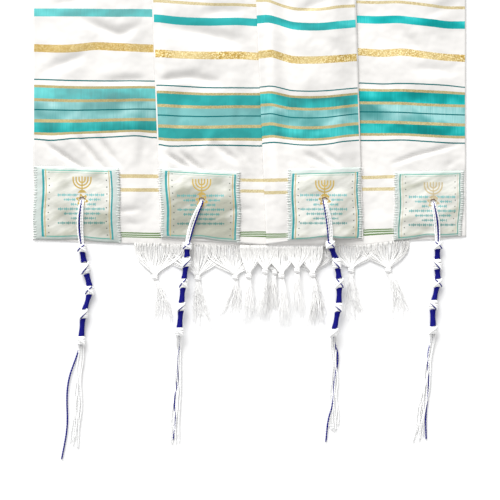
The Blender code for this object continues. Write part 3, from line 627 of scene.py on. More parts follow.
# Layers inside the pleat
# Between the two stretches the same cloth turns back on itself in flat folds, which show as layers
# at the hem and down the pleat's side.
PLEAT_RUNS = 3
PLEAT_START = HEM_Y - 0.0006
PLEAT_STOP = PLEAT_JOIN_Y - 0.030
PLEAT_SHELL = 0.0005
TURN_STEPS = 6


def pleat_section(y):
    """Points of the folded layers in a slice at y: across, and height."""
    left = edge("pleat", y) + WALL + 4 * GAP
    width = mix(0.020, PLEAT_OVERLAP - 0.004, pleat_share(y))
    radius = (hidden_height(y) - PLEAT_SHELL) / (PLEAT_RUNS - 1) / 2
    points = []
    for run in range(PLEAT_RUNS):
        height = PLEAT_LEVEL + PLEAT_SHELL / 2 + 2 * radius * run
        facing = -1 if run % 2 else 1
        start, finish = (left + radius, left + width - radius)[::facing]
        points += [(mix(start, finish, t), height) for t in shares(12)]
        for k in range(1, TURN_STEPS if run < PLEAT_RUNS - 1 else 1):
            a = math.pi * k / TURN_STEPS - math.pi / 2
            points.append((finish + facing * radius * math.cos(a), height + radius * (1 + math.sin(a))))
    return points


def pleat_place(number, y):
    x, z = pleat_section(y)[number]
    return Vector((x, y, z)), (x + number * 0.003, y - HEM_Y, 0.050)


pleat_columns = range(len(pleat_section(PLEAT_START)))
pleat_rows = steps(PLEAT_START, (PLEAT_STOP, 0.012))
pleat = cloth_shell("pleat_layers_cloth", pleat_columns, pleat_rows, pleat_place, PLEAT_SHELL, offset=0)
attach(pleat, "root")
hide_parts("pleat_layers")

# Corner squares
# Printed silver-white satin, cut square, laid on each corner and whip-stitched down at its sides. Each
# has a teal and gold frame, a gold lampstand, rows of teal lozenges, and a hole for the corner's tassel.
SQUARE_WALL = 0.0006
SQUARE_TOP = 0.0005 + SQUARE_WALL
HOLE_RADIUS = 0.0030
SQUARE_CELLS = 44
SIDE_STITCHES = 30
STITCH_REACH = 0.2757
STITCH_RADIUS = 0.00034
PRINT_WIDE = 88.0
PRINT_TALL = 86.0
TOPS = {"lower": lower_top, "left": left_top, "right": right_top}
# Layer, corners (lower left, lower right, upper right, upper left), hole, how far the printed frame lies
# from the left, right, lower and upper edge, how grey the satin is painted as its reflection, and how far
# up, in millimetres, its lampstand is printed
SQUARES = {
    "lower_left": (
        "lower", ((-0.2746, -0.2658), (-0.1635, -0.2706), (-0.1650, -0.1755), (-0.2728, -0.1728)),
        (-0.2121, -0.2159), (0.0117, 0.0105, 0.0050, 0.0050), 0.36, 4.5,
    ),
    "upper_left": (
        "left", ((-0.1110, -0.2638), (-0.0118, -0.2700), (-0.0122, -0.1803), (-0.1142, -0.1748)),
        (-0.0606, -0.2169), (0.0085, 0.0060, 0.0040, 0.0050), 0.76, 2.5,
    ),
    "upper_right": (
        "right", ((0.0492, -0.2672), (0.1425, -0.2650), (0.1405, -0.1744), (0.0490, -0.1770)),
        (0.0950, -0.2163), (0.0060, 0.0045, 0.0024, 0.0070), 0.10, 0.0,
    ),
    "lower_right": (
        "lower", ((0.1835, -0.2676), (0.2690, -0.2616), (0.2728, -0.1785), (0.1850, -0.1800)),
        (0.2328, -0.2184), (0.0070, 0.0055, 0.0035, 0.0045), 0.22, 0.0,
    ),
}
# Puckers of each square, like creases, with their middle from the hole
PUCKERS = {
    "lower_left": (
        (-30, 22, 35, 50, 16, 1), (26, 16, -50, 60, 16, -0.9), (-28, -22, -48, 75, 20, -1.3),
        (22, -30, -30, 50, 16, 1.1), (0, -30, 84, 50, 12, 1),
    ),
    "upper_left": (
        (-24, 16, 12, 60, 16, 0.9), (26, 20, -24, 50, 16, -0.9), (-12, -34, 4, 85, 18, -1.3),
        (28, -22, 8, 60, 14, 0.9),
    ),
    "upper_right": (
        (-26, 20, 28, 50, 16, 0.9), (26, 14, -18, 60, 18, -1), (-26, -28, -34, 60, 18, 1.1),
        (22, -34, 14, 50, 14, -1.2), (2, -42, 86, 30, 10, 1),
    ),
    "lower_right": (
        (-24, 20, -16, 60, 16, -1), (22, 6, 8, 50, 16, 1), (-20, -20, 6, 70, 16, 1),
        (24, -32, 12, 50, 14, -1.2), (-10, -36, -6, 60, 12, -1),
    ),
}


def square_finish():
    """Satin printed with a frame, a seven-branched lampstand, a star and rows of lozenges."""
    material, shader, sample = new_finish("square_satin", roughness=0.34, sheen=0.1, specular=0.6)
    # Millimetres inside the frame's teal line, and millimetres from the hole
    edges, centre = sample.attribute("frame_place"), sample.attribute("hole_place")
    from_left, from_low, tone = edges.xyz()
    from_right, from_top = PRINT_WIDE - from_left, PRINT_TALL - from_low
    x, y, lamp_y = centre.xyz()
    inside = from_left.lesser(from_right).lesser(from_low.lesser(from_top))
    slanted = edges.node("CombineXYZ", None, {0: x * 0.45 + y * 0.25, 1: y - x * 0.5, 2: tone * 90.0})
    slow = slanted.noise(0.050, 2.0, 0.5)
    fine = centre.stretch(0.10, 1.0, 0.0).noise(1.6, 2.0, 0.6)
    # Painted reflection: the satin is painted greyer in broad soft patches and towards the bottom of each
    # square, more so on the greyer squares, and its margin follows
    satin = (tone + (slow - 0.5) * 3.0 - (y + 5.0) * tone * 0.018).limited(0.0, 1.0)
    faint = tone.within(0.18, 0.28)
    plain = (0.86 + 0.28 * fine).times(satin.tint((0.735, 0.732, 0.680), (0.400, 0.405, 0.330)))
    margin = (satin * 0.8).tint((0.530, 0.590, 0.560), (0.420, 0.470, 0.435))
    # Frame: a broad teal line at the left, a finer one at the right, hair lines above and below
    rows = (from_low > -1.2) * (from_top > -1.2)
    columns = (from_left > -1.6) * (from_right > -1.2)
    teal = (from_left.within(-1.6, 1.3) * rows).greater(from_right.within(-1.2, 0.9) * rows)
    teal = teal * (1.0 - faint * from_left.within(0.2, 2.0).greater(from_right.within(0.0, 1.0)))
    hair = from_low.within(-1.0, 0.5).greater(from_top.within(-0.9, 0.5))
    hair = hair.greater(from_top.within(2.1, 3.0) * 0.5)
    gold = from_left.within(2.6, 4.0).greater(from_right.within(2.1, 3.3)) * rows
    # Lampstand: three round branches either side of a stem, on a foot
    below = (lamp_y - 21.3).lesser(0.0)
    bow = (x * x + below * below) ** 0.5
    branch = (abs((bow / 3.75 + 0.5).fract() - 0.5) < 0.24) * bow.within(2.0, 12.3) * (lamp_y < 24.9)
    stem = (abs(x) < 0.80) * lamp_y.within(4.5, 25.4)
    foot = (abs(x) < (10.5 - lamp_y)) * lamp_y.within(4.5, 8.0)
    # Star round the hole
    reach = (x * x + y * y) ** 0.5
    points = (y.turn_of(x) * 6.0 + math.pi).sine()
    star = (reach < (6.4 + 1.6 * points)) * (reach > (4.0 + 1.0 * points))
    gilded = branch.greater(stem).greater(foot).greater(star)
    # Rows of lozenges of changing size, each row of its own width
    row_place = (y + 38.0) / 5.9
    row, number = row_place.fract() - 0.5, row_place.floor()
    bead = (x / 2.5 + number * 0.37).fract() - 0.5
    swing = (number * 2.1).sine()
    size = 0.42 + 0.09 * (x * 0.9 + number * 5.0).sine()
    lozenge = (abs(row) * 1.35 + abs(bead) * 0.72) < size
    lozenge = lozenge * y.within(-32.5, 8.8) * (abs(x + swing * 1.5) < (23.0 + 8.0 * swing)) * (reach > 8.4)
    # Dots inside the frame
    dot_y = (from_low / 8.8).fract() - 0.5
    side = abs(from_left - 7.6).lesser(abs(from_right - 6.4))
    dot = (((side * side + dot_y * dot_y * 77.0) ** 0.5) < 0.85) * (inside > 2.0)
    # The lozenge ink takes the painted reflection too, darker with the satin's painted grey and towards the
    # bottom
    ink = (satin * 0.4 - y * 0.020).limited(0.0, 1.0).tint((0.100, 0.440, 0.440), (0.015, 0.190, 0.170))
    # Painted glints on the gilt print: small specks from dark to bright gold
    painted_glint = centre.stretch(1.0, 1.0, 0.0).noise(1.3, 2.0, 0.7)
    gilt = painted_glint.tint((0.300, 0.180, 0.015), (0.860, 0.640, 0.200))
    colour = (inside > -1.0).tint(margin, plain)
    for share, tone_of in (
        (hair * columns, (0.130, 0.380, 0.310)),
        (gold * (1.0 - 0.65 * faint), (0.470, 0.380, 0.180)),
        (teal, faint.tint((0.020, 0.280, 0.290), (0.050, 0.260, 0.210))),
        (lozenge * 0.80, ink),
        (dot, (0.120, 0.140, 0.120)),
        (gilded * (1.0 - 0.40 * faint), gilt),
        # Painted shade: the hole's edge is dark brown where the loop doesn't cover it
        ((reach < 4.0) * (y > 0.6), (0.180, 0.090, 0.030)),
    ):
        colour = share.tint(colour, tone_of)
    feed(shader, Base_Color=colour, Roughness=0.32 + 0.14 * fine, Metallic=0.30 * gilded)
    feed(shader, Normal=(2.4 * slow + 0.10 * fine).bump())
    return material


def stitch_thread():
    """White sewing thread."""
    material, shader, sample = new_finish("stitch_thread", roughness=0.55, sheen=0.2)
    uneven = sample.node("TexCoord", output=3).noise(600.0, 2.0)
    feed(shader, Base_Color=uneven.tint((0.78, 0.79, 0.78), (0.95, 0.95, 0.93)))
    return material


def sides_of(line, k):
    """The directions across and above a line at its point k."""
    ahead = line[min(k + 1, len(line) - 1)] - line[max(k - 1, 0)]
    side = ahead.cross(Vector((0, 0, 1)))
    side = side.normalized() if side.length > 1e-9 else Vector((1, 0, 0))
    return side, side.cross(ahead).normalized()


class Strands:
    """Threads and cords that become one mesh, each with the number of its finish."""

    def __init__(self):
        self.points, self.faces, self.finishes = [], [], []

    def tube(self, line, radius, sides, taper=1.0, flatten=1.0, finish=0):
        """Adds a closed tube along a line. taper is its last ring's share of the radius."""
        base, last = len(self.points), len(line) - 1
        for k, point in enumerate(line):
            side, lift = sides_of(line, k)
            size = radius * (1 - (1 - taper) * max(0.0, (k / last - 0.6) / 0.4))
            for a in [math.tau * (i + 0.5) / sides for i in range(sides)]:
                self.points.append(point + side * (size * math.cos(a)) + lift * (size * flatten * math.sin(a)))
        end = base + last * sides
        for a in range(base, end, sides):
            for i in range(sides):
                j = (i + 1) % sides
                self.faces.append((a + i, a + j, a + sides + j, a + sides + i))
        self.faces += [tuple(range(base + sides - 1, base - 1, -1)), tuple(range(end, end + sides))]
        self.finishes += [finish] * (len(self.faces) - len(self.finishes))

    def piece(self, name, *finishes):
        made = new_piece(name, self.points, self.faces, finishes)
        made.data.polygons.foreach_set("material_index", self.finishes)
        return made


def square_point(corners, u, v):
    """A point of a square. The tassel pulls its lower edge up at the middle, and its sides wave a little."""
    low_left, low_right, up_right, up_left = [Vector(c) for c in corners]
    pull = 0.0026 * math.exp(-((u - 0.5) / 0.16) ** 2) * max(0.0, 1 - 3 * v) ** 2
    wave = 0.0007 * math.sin(9 * v + 4 * corners[0][0] * 90)
    return low_left.lerp(low_right, u).lerp(up_left.lerp(up_right, u), v) + Vector((wave, pull))


def square_top(name, x, y):
    """Top of a sewn square: its panel's top, its own puckers, and level round the hole."""
    layer, _, hole = SQUARES[name][:3]
    right, up = x - hole[0], y - hole[1]
    free = soft_step((math.hypot(right, up) - 0.005) / 0.010)
    return TOPS[layer](x, y) + SQUARE_TOP + max(0.0, 0.0010 + pressed(PUCKERS[name], right, up)) * free


def make_square(name, finish):
    """The satin as a grid that is drawn out round the hole, with its edges held down by the stitches."""
    layer, corners, hole, (left, right, low, high), tone, lamp_rise = SQUARES[name]
    at_low_left, at_low_right, at_up_right, at_up_left = [Vector(c) for c in corners]
    width = ((at_low_right - at_low_left).length + (at_up_right - at_up_left).length) / 2
    tall = ((at_up_left - at_low_left).length + (at_up_right - at_low_right).length) / 2
    points, frame_place, hole_place = [], [], []
    for v in shares(SQUARE_CELLS):
        for u in shares(SQUARE_CELLS):
            flat = square_point(corners, u, v)
            reach = (flat - Vector(hole)).length
            if reach < HOLE_RADIUS * 2.2:
                flat = Vector(hole) + (flat - Vector(hole)) * (max(reach, HOLE_RADIUS) / max(reach, 1e-6))
            held = soft_step(min(u, 1 - u, v, 1 - v) / 0.06)
            bare = TOPS[layer](flat.x, flat.y) + SQUARE_TOP
            points.append(Vector((flat.x, flat.y, mix(bare, square_top(name, flat.x, flat.y), held))))
            frame_x = (u * width - left) / (width - left - right) * PRINT_WIDE
            frame_place.append((frame_x, (v * tall - low) / (tall - low - high) * PRINT_TALL, tone))
            across, up = (flat.x - hole[0]) * 1000, (flat.y - hole[1]) * 1000
            hole_place.append((across, up, up - lamp_rise))
    faces = []
    for cell in grid_faces(SQUARE_CELLS + 1, SQUARE_CELLS + 1):
        middle = sum((points[k] for k in cell), Vector()) / 4
        if math.hypot(middle.x - hole[0], middle.y - hole[1]) > HOLE_RADIUS * 0.92:
            faces.append(cell)
    places = {"frame_place": frame_place, "hole_place": hole_place}
    return thicken(new_piece(name + "_satin_square", points, faces, [finish], **places), SQUARE_WALL)


def make_stitches(name, finish):
    """Whip stitches down both sides: short bars of thread from the satin over its edge into the cloth."""
    layer, corners = SQUARES[name][:2]
    draws = random.Random(name)
    bars = Strands()
    for side, outward in ((0.0, -1), (1.0, 1)):
        for k in range(SIDE_STITCHES):
            at = square_point(corners, side, (k + 0.5 + draws.uniform(-0.2, 0.2)) / SIDE_STITCHES)
            inner = at.x - outward * (0.0036 + draws.uniform(-0.0016, 0.0010))
            outer = at.x + outward * (0.0026 + draws.uniform(-0.0006, 0.0006))
            outer = max(-STITCH_REACH, min(STITCH_REACH, outer))
            slant = draws.uniform(-0.0008, 0.0008)
            line = []
            for t in (0.0, 0.2, 0.45, 0.62, 0.8, 1.0):
                x, y = mix(inner, outer, t), at.y + slant * (t - 0.5)
                over = square_top(name, x, y) if outward * (at.x - x) > 0 else TOPS[layer](x, y)
                line.append(Vector((x, y, over - 0.0003 + 0.0003 * math.sin(math.pi * t))))
            bars.tube(line, STITCH_RADIUS, 5)
    return bars.piece("stitches_" + name, finish)


satin = square_finish()
sewing = stitch_thread()
for name in SQUARES:
    square, stitches = make_square(name, satin), make_stitches(name, sewing)
    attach(square, "root")
    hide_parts("corner_square_" + name)
    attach(stitches, "root")

# Fringe of both hems
# The warp threads left long past the hem, drawn together in bunches, each tied in a knot, and hanging
# free below it in crimped strands.
GATHERED_THREADS = 84
FREE_THREADS = 44
KNOT_HALF = (0.0034, 0.0034, 0.0015)
GATHERED_RADIUS = 0.00054
FREE_RADIUS = 0.00034
KNOT_THREAD_RADIUS = 0.00075
KNOT_MOUTH = 0.0050
HEM_HOLD = 0.0018
# Hem, left end, pitch, heights of the gathered threads, the knots and the free threads, how far the free
# ones spread, and for each bunch its knot across and along, its tip across and along, and its sway
FRINGES = {
    "lower_fringe": (LOWER_HEM, -0.1450, 0.0495, 0.0010, 0.0024, 0.0010, 0.0150, (
        (-0.1200, -0.3137, -0.1085, -0.3740, 0.0030), (-0.0660, -0.3150, -0.0570, -0.3765, -0.0025),
        (-0.0180, -0.3137, -0.0245, -0.3610, 0.0022), (0.0325, -0.3073, 0.0290, -0.3660, -0.0028),
        (0.0810, -0.3099, 0.0850, -0.3740, 0.0026), (0.1290, -0.3050, 0.1345, -0.3665, -0.0024),
        (0.1760, -0.3048, 0.1930, -0.3655, 0.0034),
    )),
    "upper_fringe": (((0.0, PLEAT_START),), -0.0110, 0.0206, 0.0046, 0.0057, 0.0050, 0.0100, (
        (-0.0010, -0.3125, -0.0040, -0.3715, 0.0018), (0.0200, -0.3065, 0.0165, -0.3650, -0.0016),
        (0.0405, -0.3118, 0.0420, -0.3755, 0.0020), (0.0605, -0.3050, 0.0630, -0.3620, -0.0018),
        (0.0800, -0.3105, 0.0830, -0.3705, 0.0014),
    )),
}


def fringe_thread():
    """White viscose thread, uneven along its length."""
    material, shader, sample = new_finish("fringe_thread", roughness=0.62, sheen=0.2, specular=0.3)
    place = sample.node("TexCoord", output=3)
    white = place.stretch(1.0, 0.2).noise(900.0, 2.0).tint((0.930, 0.925, 0.910), (0.975, 0.970, 0.960))
    # Painted shade: the threads are a little greyer next to the hem
    painted_hem_shade = ((place.xyz()[1] + 0.298) / 0.026).limited(0.0, 1.0)
    feed(shader, Base_Color=painted_hem_shade.tint(white, (0.620, 0.610, 0.590)))
    feed(shader, Normal=place.stretch(1.0, 0.25).noise(1600.0, 2.0).bump(0.4, 0.0003))
    return material


def ring_of(centre, half_across, half_up, tilt, turn, count):
    """Points of a closed oval loop round a cord that runs along Y, tilted along it."""
    points = []
    for a in [math.tau * t + turn for t in shares(count)]:
        across, run, up = math.cos(a) * half_across, math.sin(a + turn) * tilt, math.sin(a) * half_up
        points.append(centre + Vector((across, run, up)))
    return points


def make_fringe(name, finish, draws):
    """One end's bunches: threads from the hem to the knot, the knot's loops, and the free strands."""
    hem, left, pitch, strip_z, knot_z, rest_z, spread, bunches = FRINGES[name]
    strands = Strands()
    for k, (knot_x, knot_y, tip_x, tip_y, sway) in enumerate(bunches):
        knot = Vector((knot_x, knot_y, knot_z))
        held_to, bend = draws.uniform(0.02, 0.34), draws.uniform(1.0, 1.7)
        for n in range(GATHERED_THREADS):
            place = (n + draws.uniform(0.2, 0.8)) / GATHERED_THREADS
            x0 = left + (k + place * 1.5 - 0.25 + draws.uniform(-0.08, 0.08)) * pitch
            x0 = min(max(x0, left), left + len(bunches) * pitch)
            y0 = along(hem, x0) + HEM_HOLD
            x1, y1 = knot.x + (place - 0.5) * KNOT_MOUTH, knot.y + KNOT_HALF[1] * 0.6
            layer = draws.uniform(-1.0, 1.0)
            slack = draws.uniform(0.0, 0.0060) * draws.random()
            line = []
            for t in shares(9):
                gathered = soft_step((t - held_to) / (1.0 - held_to)) ** bend
                x = mix(x0, x1, gathered) + 0.0009 * math.sin(7 * t + 5 * n) * (1 - t)
                y = mix(y0, y1, t) - slack * math.sin(math.pi * t)
                rise = mix(strip_z, knot.z, t) + layer * mix(0.0001, 0.0008, t)
                line.append(Vector((x, y, max(rise, 0.0005))))
            strands.tube(line, GATHERED_RADIUS, 4, flatten=0.7)
        for n in range(FREE_THREADS):
            start_x = knot.x + (n / (FREE_THREADS - 1) - 0.5) * 0.0046
            x_end = tip_x + draws.uniform(-1.0, 1.0) * spread
            length, crimp = draws.uniform(0.68, 1.08), draws.uniform(0.0004, 0.0015)
            wave, phase = draws.uniform(3.0, 6.0), draws.uniform(0, math.tau)
            height = draws.uniform(0.0, 0.0022)
            line = []
            for t in shares(12):
                f = t * length
                x = mix(start_x, x_end, f ** 0.85) + sway * math.sin(math.pi * f)
                x += crimp * math.sin(wave * math.pi * t + phase) * soft_step(4 * t)
                y = mix(knot.y - KNOT_HALF[1] * 0.6, tip_y, f)
                line.append(Vector((x, y, mix(knot.z, rest_z + height * (1 - t), soft_step(2.2 * t)))))
            strands.tube(line, FREE_RADIUS, 4, taper=0.35)
        # Knot: a core of gathered thread with three loops drawn tight round it
        core = [knot + Vector((0, KNOT_HALF[1] * s, 0)) for s in (1.0, 0.6, 0.0, -0.6, -1.0)]
        strands.tube(core, KNOT_HALF[0] * 0.82, 10, flatten=0.52)
        for tilt, turn in ((0.0022, 0.4), (-0.0020, 1.2), (0.0010, 2.3)):
            loop = ring_of(knot, KNOT_HALF[0], KNOT_HALF[2], tilt, turn, 16)
            strands.tube(loop, KNOT_THREAD_RADIUS, 5)
    return strands.piece(name + "_threads", finish)


thread = fringe_thread()
fringes = {}
for seed, name in enumerate(FRINGES, 3):
    fringes[name] = make_fringe(name, thread, random.Random(seed))
    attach(fringes[name], "root")
    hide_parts(name)

# Tzitzit, the four corner tassels
# Seven white cords and a blue one, doubled through the square's hole: a flat loop, then five double
# knots of white with four windings of the blue between them, and the eight ends hanging free.
FRINGE_TOP = 0.0040
FRINGE_END = -0.3830
FRINGE_FALL = 0.020
HEM_FALL = 0.026
CORD_RADIUS = 0.00090
LOOP_CORD_RADIUS = 0.00092
LOOP_PITCH = 0.00205
TAIL_PITCH = 0.0019
WINDING_HALF = (0.0034, 0.0030)
WINDING_RADIUS = 0.00084
WINDING_PITCH = 0.00150
KNOT_ROUND = (0.0058, 0.0040)
KNOT_CORD_RADIUS = 0.00145
CROSS_RADIUS = 0.00125
STRAY_RADIUS = 0.00080
LOOP_PLY = 0.0075
TAIL_PLY = 0.0065
CURVE_STEP = {LOOP_PLY: 0.0009, TAIL_PLY: 0.0010}
# Middle of each knot along the shawl, its place across and its half length, first to last, then the tail's
# end, points of the blue cord's tail, its column in the loop, and whether the tassel lies on fringe
TZITZIT = {
    "lower_left": (
        (-0.2770, -0.3026, -0.3305, -0.3606, -0.3942), (-0.2125, -0.2087, -0.2028, -0.2105, -0.2138),
        (0.0048, 0.0080, 0.0056, 0.0064, 0.0056), (-0.2225, -0.5270),
        ((-0.2292, -0.4432), (-0.2318, -0.5004), (-0.2381, -0.5448)), 1, False,
    ),
    "upper_left": (
        (-0.2743, -0.2949, -0.3216, -0.3514, -0.3830), (-0.0787, -0.0800, -0.0837, -0.0866, -0.0892),
        (0.0040, 0.0066, 0.0061, 0.0055, 0.0055), (-0.0960, -0.5225),
        ((-0.0895, -0.4050), (-0.0935, -0.4600), (-0.0960, -0.5200)), 3, True,
    ),
    "upper_right": (
        (-0.2728, -0.2963, -0.3216, -0.3520, -0.3842), (0.1022, 0.1105, 0.1135, 0.1124, 0.1066),
        (0.0046, 0.0066, 0.0064, 0.0058, 0.0054), (0.1060, -0.5080),
        ((0.1111, -0.4140), (0.1055, -0.4674), (0.0959, -0.5226)), 0, True,
    ),
    "lower_right": (
        (-0.2735, -0.2975, -0.3212, -0.3488, -0.3812), (0.2385, 0.2380, 0.2385, 0.2330, 0.2325),
        (0.0050, 0.0070, 0.0054, 0.0062, 0.0052), (0.2127, -0.5182),
        ((0.2267, -0.4191), (0.2254, -0.4724), (0.2237, -0.5194)), 2, False,
    ),
}


def cord_finish(name, low, high, sheen, specular):
    """Spun cord, with fine fibres along it."""
    material, shader, sample = new_finish(name, roughness=0.60, sheen=sheen, specular=specular)
    fibre = sample.node("TexCoord", output=3).noise(1500.0, 3.0, 0.6)
    feed(shader, Base_Color=fibre.tint(low, high), Normal=fibre.bump(0.6, 0.0003))
    return material


def fill_in(points, step):
    """More points along a smooth curve through the given ones, about a step apart."""
    lengths = [0.0]
    for before, point in zip(points, points[1:]):
        lengths.append(lengths[-1] + (point - before).length)
    tables = [list(zip(lengths, values)) for values in zip(*points)]
    places = [lengths[-1] * t for t in shares(max(2, round(lengths[-1] / step)))]
    return [Vector([eased(table, place) for table in tables]) for place in places], lengths[-1]


def ply(cords, points, radius, pitch, taper=1.0, finish=0):
    """Two yarns twisted round each other along a smooth curve, one turn to each pitch."""
    line, length = fill_in(points, CURVE_STEP[pitch])
    for start in (0.0, math.pi):
        yarn = []
        for k, point in enumerate(line):
            side, lift = sides_of(line, k)
            a = start + math.tau * length / pitch * k / (len(line) - 1)
            yarn.append(point + (side * math.cos(a) + lift * math.sin(a)) * radius * 0.52)
        cords.tube(yarn, radius * 0.60, 5, taper=taper, finish=finish)


def make_tzitzit(name, white, blue):
    """The corner tassel as one mesh of twisted cords in two colours."""
    knot_y, knot_x, half, tail, blue_tail, blue_column, on_fringe = TZITZIT[name]
    layer, _, hole = SQUARES[name][:3]
    top = TOPS[layer]
    draws = random.Random(name)
    cords = Strands()
    hem_end = knot_y[0] + 0.0070
    hem_height = top(knot_x[0], hem_end) + SQUARE_TOP + 0.0008

    def ground(x, y):
        """Height of what lies under the cords."""
        if y > hem_end:
            return square_top(name, x, y) + 0.0001
        beyond = mix(FRINGE_TOP, GAP, soft_step((FRINGE_END - y) / FRINGE_FALL)) if on_fringe else GAP
        return mix(hem_height, beyond, soft_step((hem_end - y) / HEM_FALL))

    def middle(y, size):
        x = eased([(-at, value) for at, value in zip(knot_y, knot_x)], -y)
        return Vector((x, y, ground(x, y) + size))

    # Loop: four cords above four, from the hole to the first knot, bowed to one side
    first = middle(knot_y[0] + 0.003, KNOT_ROUND[1])
    bend = -0.0022 if first.x < hole[0] else 0.0018
    for row, column in [(row, column) for row in range(2) for column in range(4)]:
        offset = (column - 1.5) * LOOP_PITCH
        bow = bend + draws.uniform(-0.0004, 0.0004)
        points = [Vector((hole[0] + offset * 0.35, hole[1] - 0.0004, top(*hole) - 0.0002 + 0.0004 * row))]
        for t in (0.06, 0.2, 0.4, 0.6, 0.8, 1.0):
            wide = mix(0.62, 1.0, soft_step(t * 2.4)) * mix(1.0, 0.7, soft_step(t * 3 - 2))
            x = mix(hole[0], first.x, t) + offset * wide + bow * math.sin(math.pi * t)
            y = mix(hole[1] - 0.0018, first.y, t)
            points.append(Vector((x, y, ground(x, y) + LOOP_CORD_RADIUS * (1.1 + row * 1.7))))
        is_blue = (row, column) == (1, blue_column)
        ply(cords, points, LOOP_CORD_RADIUS * (1.15 if is_blue else 1.0), LOOP_PLY, finish=int(is_blue))
    # Core under the windings
    core = [middle(mix(knot_y[0] + 0.002, knot_y[-1] - 0.003, t), WINDING_HALF[1]) for t in shares(40)]
    cords.tube(core, WINDING_HALF[0] * 0.70, 10, flatten=0.9)
    for number, y in enumerate(knot_y):
        here, tall = middle(y, KNOT_ROUND[1] * 1.12), half[number]
        lean = -1 if (number + len(name)) % 2 else 1
        # Two half hitches: fat loops that lean against each other, each with the cord it is drawn from
        for place, tilt, turn in (
            (0.68, 0.06, 0.3), (0.38, 0.14, 0.5), (0.04, -0.12, 2.0), (-0.30, -0.14, 2.3), (-0.62, -0.06, 1.4),
        ):
            centre = here + Vector((0.0004 * lean * place, place * tall, 0))
            wide = 1.12 - 0.55 * place ** 2
            across, up = KNOT_ROUND[0] * wide * 0.76, KNOT_ROUND[1] * wide * 0.72
            cords.tube(ring_of(centre, across, up, lean * tilt * tall, turn, 20), KNOT_CORD_RADIUS, 7)
        cross = []
        for t in shares(10):
            across = lean * math.sin(math.pi * (t - 0.5)) * KNOT_ROUND[0] * 0.80
            up = math.cos(math.pi * (t - 0.5)) * KNOT_ROUND[1] * 0.55 + 0.0019
            cross.append(here + Vector((across, (0.5 - t) * tall * 2.0, up)))
        cords.tube(cross, CROSS_RADIUS, 7)
        if number < 4:
            # The blue leaves the knot in front, on its way to the winding below or from the one above
            stray = []
            for t in shares(8):
                swing = math.pi * (0.10 + 0.62 * t)
                run = mix(0.85, -0.9, t) * tall * (1 if number % 2 else -1)
                up = math.sin(swing) * KNOT_ROUND[1] * 0.98 + 0.0004
                stray.append(here + Vector((-lean * math.cos(swing) * KNOT_ROUND[0] * 0.92, run, up)))
            cords.tube(stray, STRAY_RADIUS, 6, finish=1)
    for number in range(4):
        start = knot_y[number] - half[number] + 0.0004
        finish = knot_y[number + 1] + half[number + 1] - 0.0004
        turns = max(4, round((start - finish) / WINDING_PITCH))
        helix = []
        for t in shares(turns * 14):
            a = math.tau * turns * t
            # Tight at its waist, wider where it meets the knots
            waist = (mix(1.10, 0.86, math.sin(math.pi * min(1.0, t * 1.15))) - 0.05 * t) * 0.90
            across, up = math.cos(a) * WINDING_HALF[0] * waist, math.sin(a) * WINDING_HALF[1] * waist
            at = middle(mix(start, finish, t), WINDING_HALF[1] * 1.18)
            helix.append(at + Vector((across, 0.0008 * math.cos(a), up)))
        cords.tube(helix, WINDING_RADIUS, 6, finish=1)
    # Eight free ends, each with its own crimp
    last = middle(knot_y[-1] - half[-1] * 0.8, 0.0026)
    blue_path = [(-last.y, last.x)] + [(-y, x) for x, y in blue_tail]
    for k in range(8):
        column, row, is_blue = k % 4, k // 4, k == 0
        tip = Vector(blue_tail[-1] if is_blue else (tail[0] + (k - 3.5) * TAIL_PITCH, tail[1]))
        length = 1.0 if is_blue else 1 + draws.uniform(-0.10, 0.04)
        wave, phase, size = draws.uniform(1.4, 2.8), draws.uniform(0, math.tau), draws.uniform(0.0005, 0.0013)
        points = []
        for t in shares(24):
            f = t * length
            y = mix(last.y, tip.y, f)
            x = eased(blue_path, -y) if is_blue else mix(last.x + (column - 1.5) * TAIL_PITCH, tip.x, f)
            x += size * math.sin(wave * math.tau * f + phase) * soft_step(6 * t)
            lift = row * 0.0014 * (1 - 0.7 * t) + (0.0012 if is_blue else 0.0) * (1 - t)
            rest = ground(x, y) + CORD_RADIUS * 1.2 + lift
            points.append(Vector((x, y, mix(last.z + (row - 0.5) * 0.0016, rest, soft_step(7 * t)))))
        ply(cords, points, CORD_RADIUS * (1.25 if is_blue else 1.0), TAIL_PLY, 0.8, int(is_blue))
    return cords.piece("tzitzit_cords_" + name, white, blue)


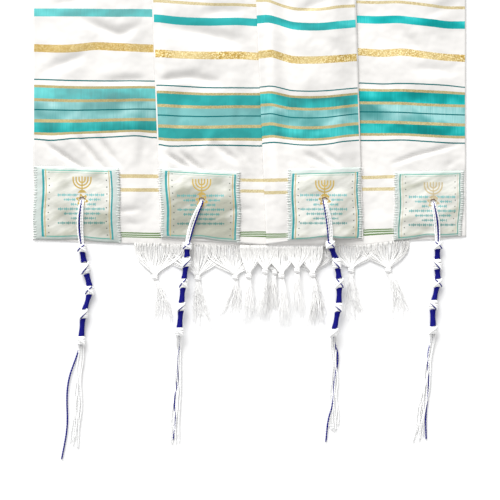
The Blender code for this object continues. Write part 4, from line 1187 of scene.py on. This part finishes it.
white_cord = cord_finish("white_cord", (0.860, 0.860, 0.855), (0.960, 0.960, 0.955), 0.2, 0.35)
blue_cord = cord_finish("blue_cord", (0.0008, 0.0008, 0.080), (0.006, 0.006, 0.290), 0.0, 0.12)
for name in TZITZIT:
    tassel = make_tzitzit(name, white_cord, blue_cord)
    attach(tassel, "root")
    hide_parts("tzitzit_" + name)

# Surface, light and camera
# A plain pale surface, a large soft light from the upper left and even light all round, seen from above.
PHOTO_WIDTH = 0.635
LENS = 150.0
SENSOR = 36.0
CAMERA_PLACE = (0.0006, -0.2794, PHOTO_WIDTH * LENS / SENSOR)
KEY_PLACE = (-4.2, 11.4, 5.2)
KEY_TARGET = (0.0, -0.2, 0.0)
bpy.ops.mesh.primitive_plane_add(size=8.0, location=(0, 0, 0))
surface = bpy.context.object
surface.name = "surface"
surface_material, surface_shader, surface_sample = new_finish("surface", roughness=0.8, specular=0.1)
surface_place = surface_sample.node("TexCoord", output=3)
feed(surface_shader, Base_Color=surface_place.noise(3.0).tint((0.93, 0.93, 0.93), (0.95, 0.95, 0.95)))
surface.data.materials.append(surface_material)

world = bpy.data.worlds.new("even light")
world.use_nodes = True
world.node_tree.nodes["Background"].inputs["Color"].default_value = (1.0, 1.0, 1.0, 1.0)
world.node_tree.nodes["Background"].inputs["Strength"].default_value = 0.73
bpy.context.scene.world = world

key = bpy.data.lights.new("key", "AREA")
key.shape = "DISK"
key.size = 11.5
key.energy = 3200.0
lamp = bpy.data.objects.new("key", key)
lamp.location = KEY_PLACE
lamp.rotation_euler = (Vector(KEY_TARGET) - Vector(KEY_PLACE)).to_track_quat("-Z", "Y").to_euler()
bpy.context.scene.collection.objects.link(lamp)

bpy.context.scene.view_settings.view_transform = "Standard"
camera_data = bpy.data.cameras.new("camera")
camera_data.lens = LENS
camera_data.sensor_width = SENSOR
camera = bpy.data.objects.new("camera", camera_data)
camera.location = CAMERA_PLACE
bpy.context.scene.collection.objects.link(camera)
bpy.context.scene.camera = camera
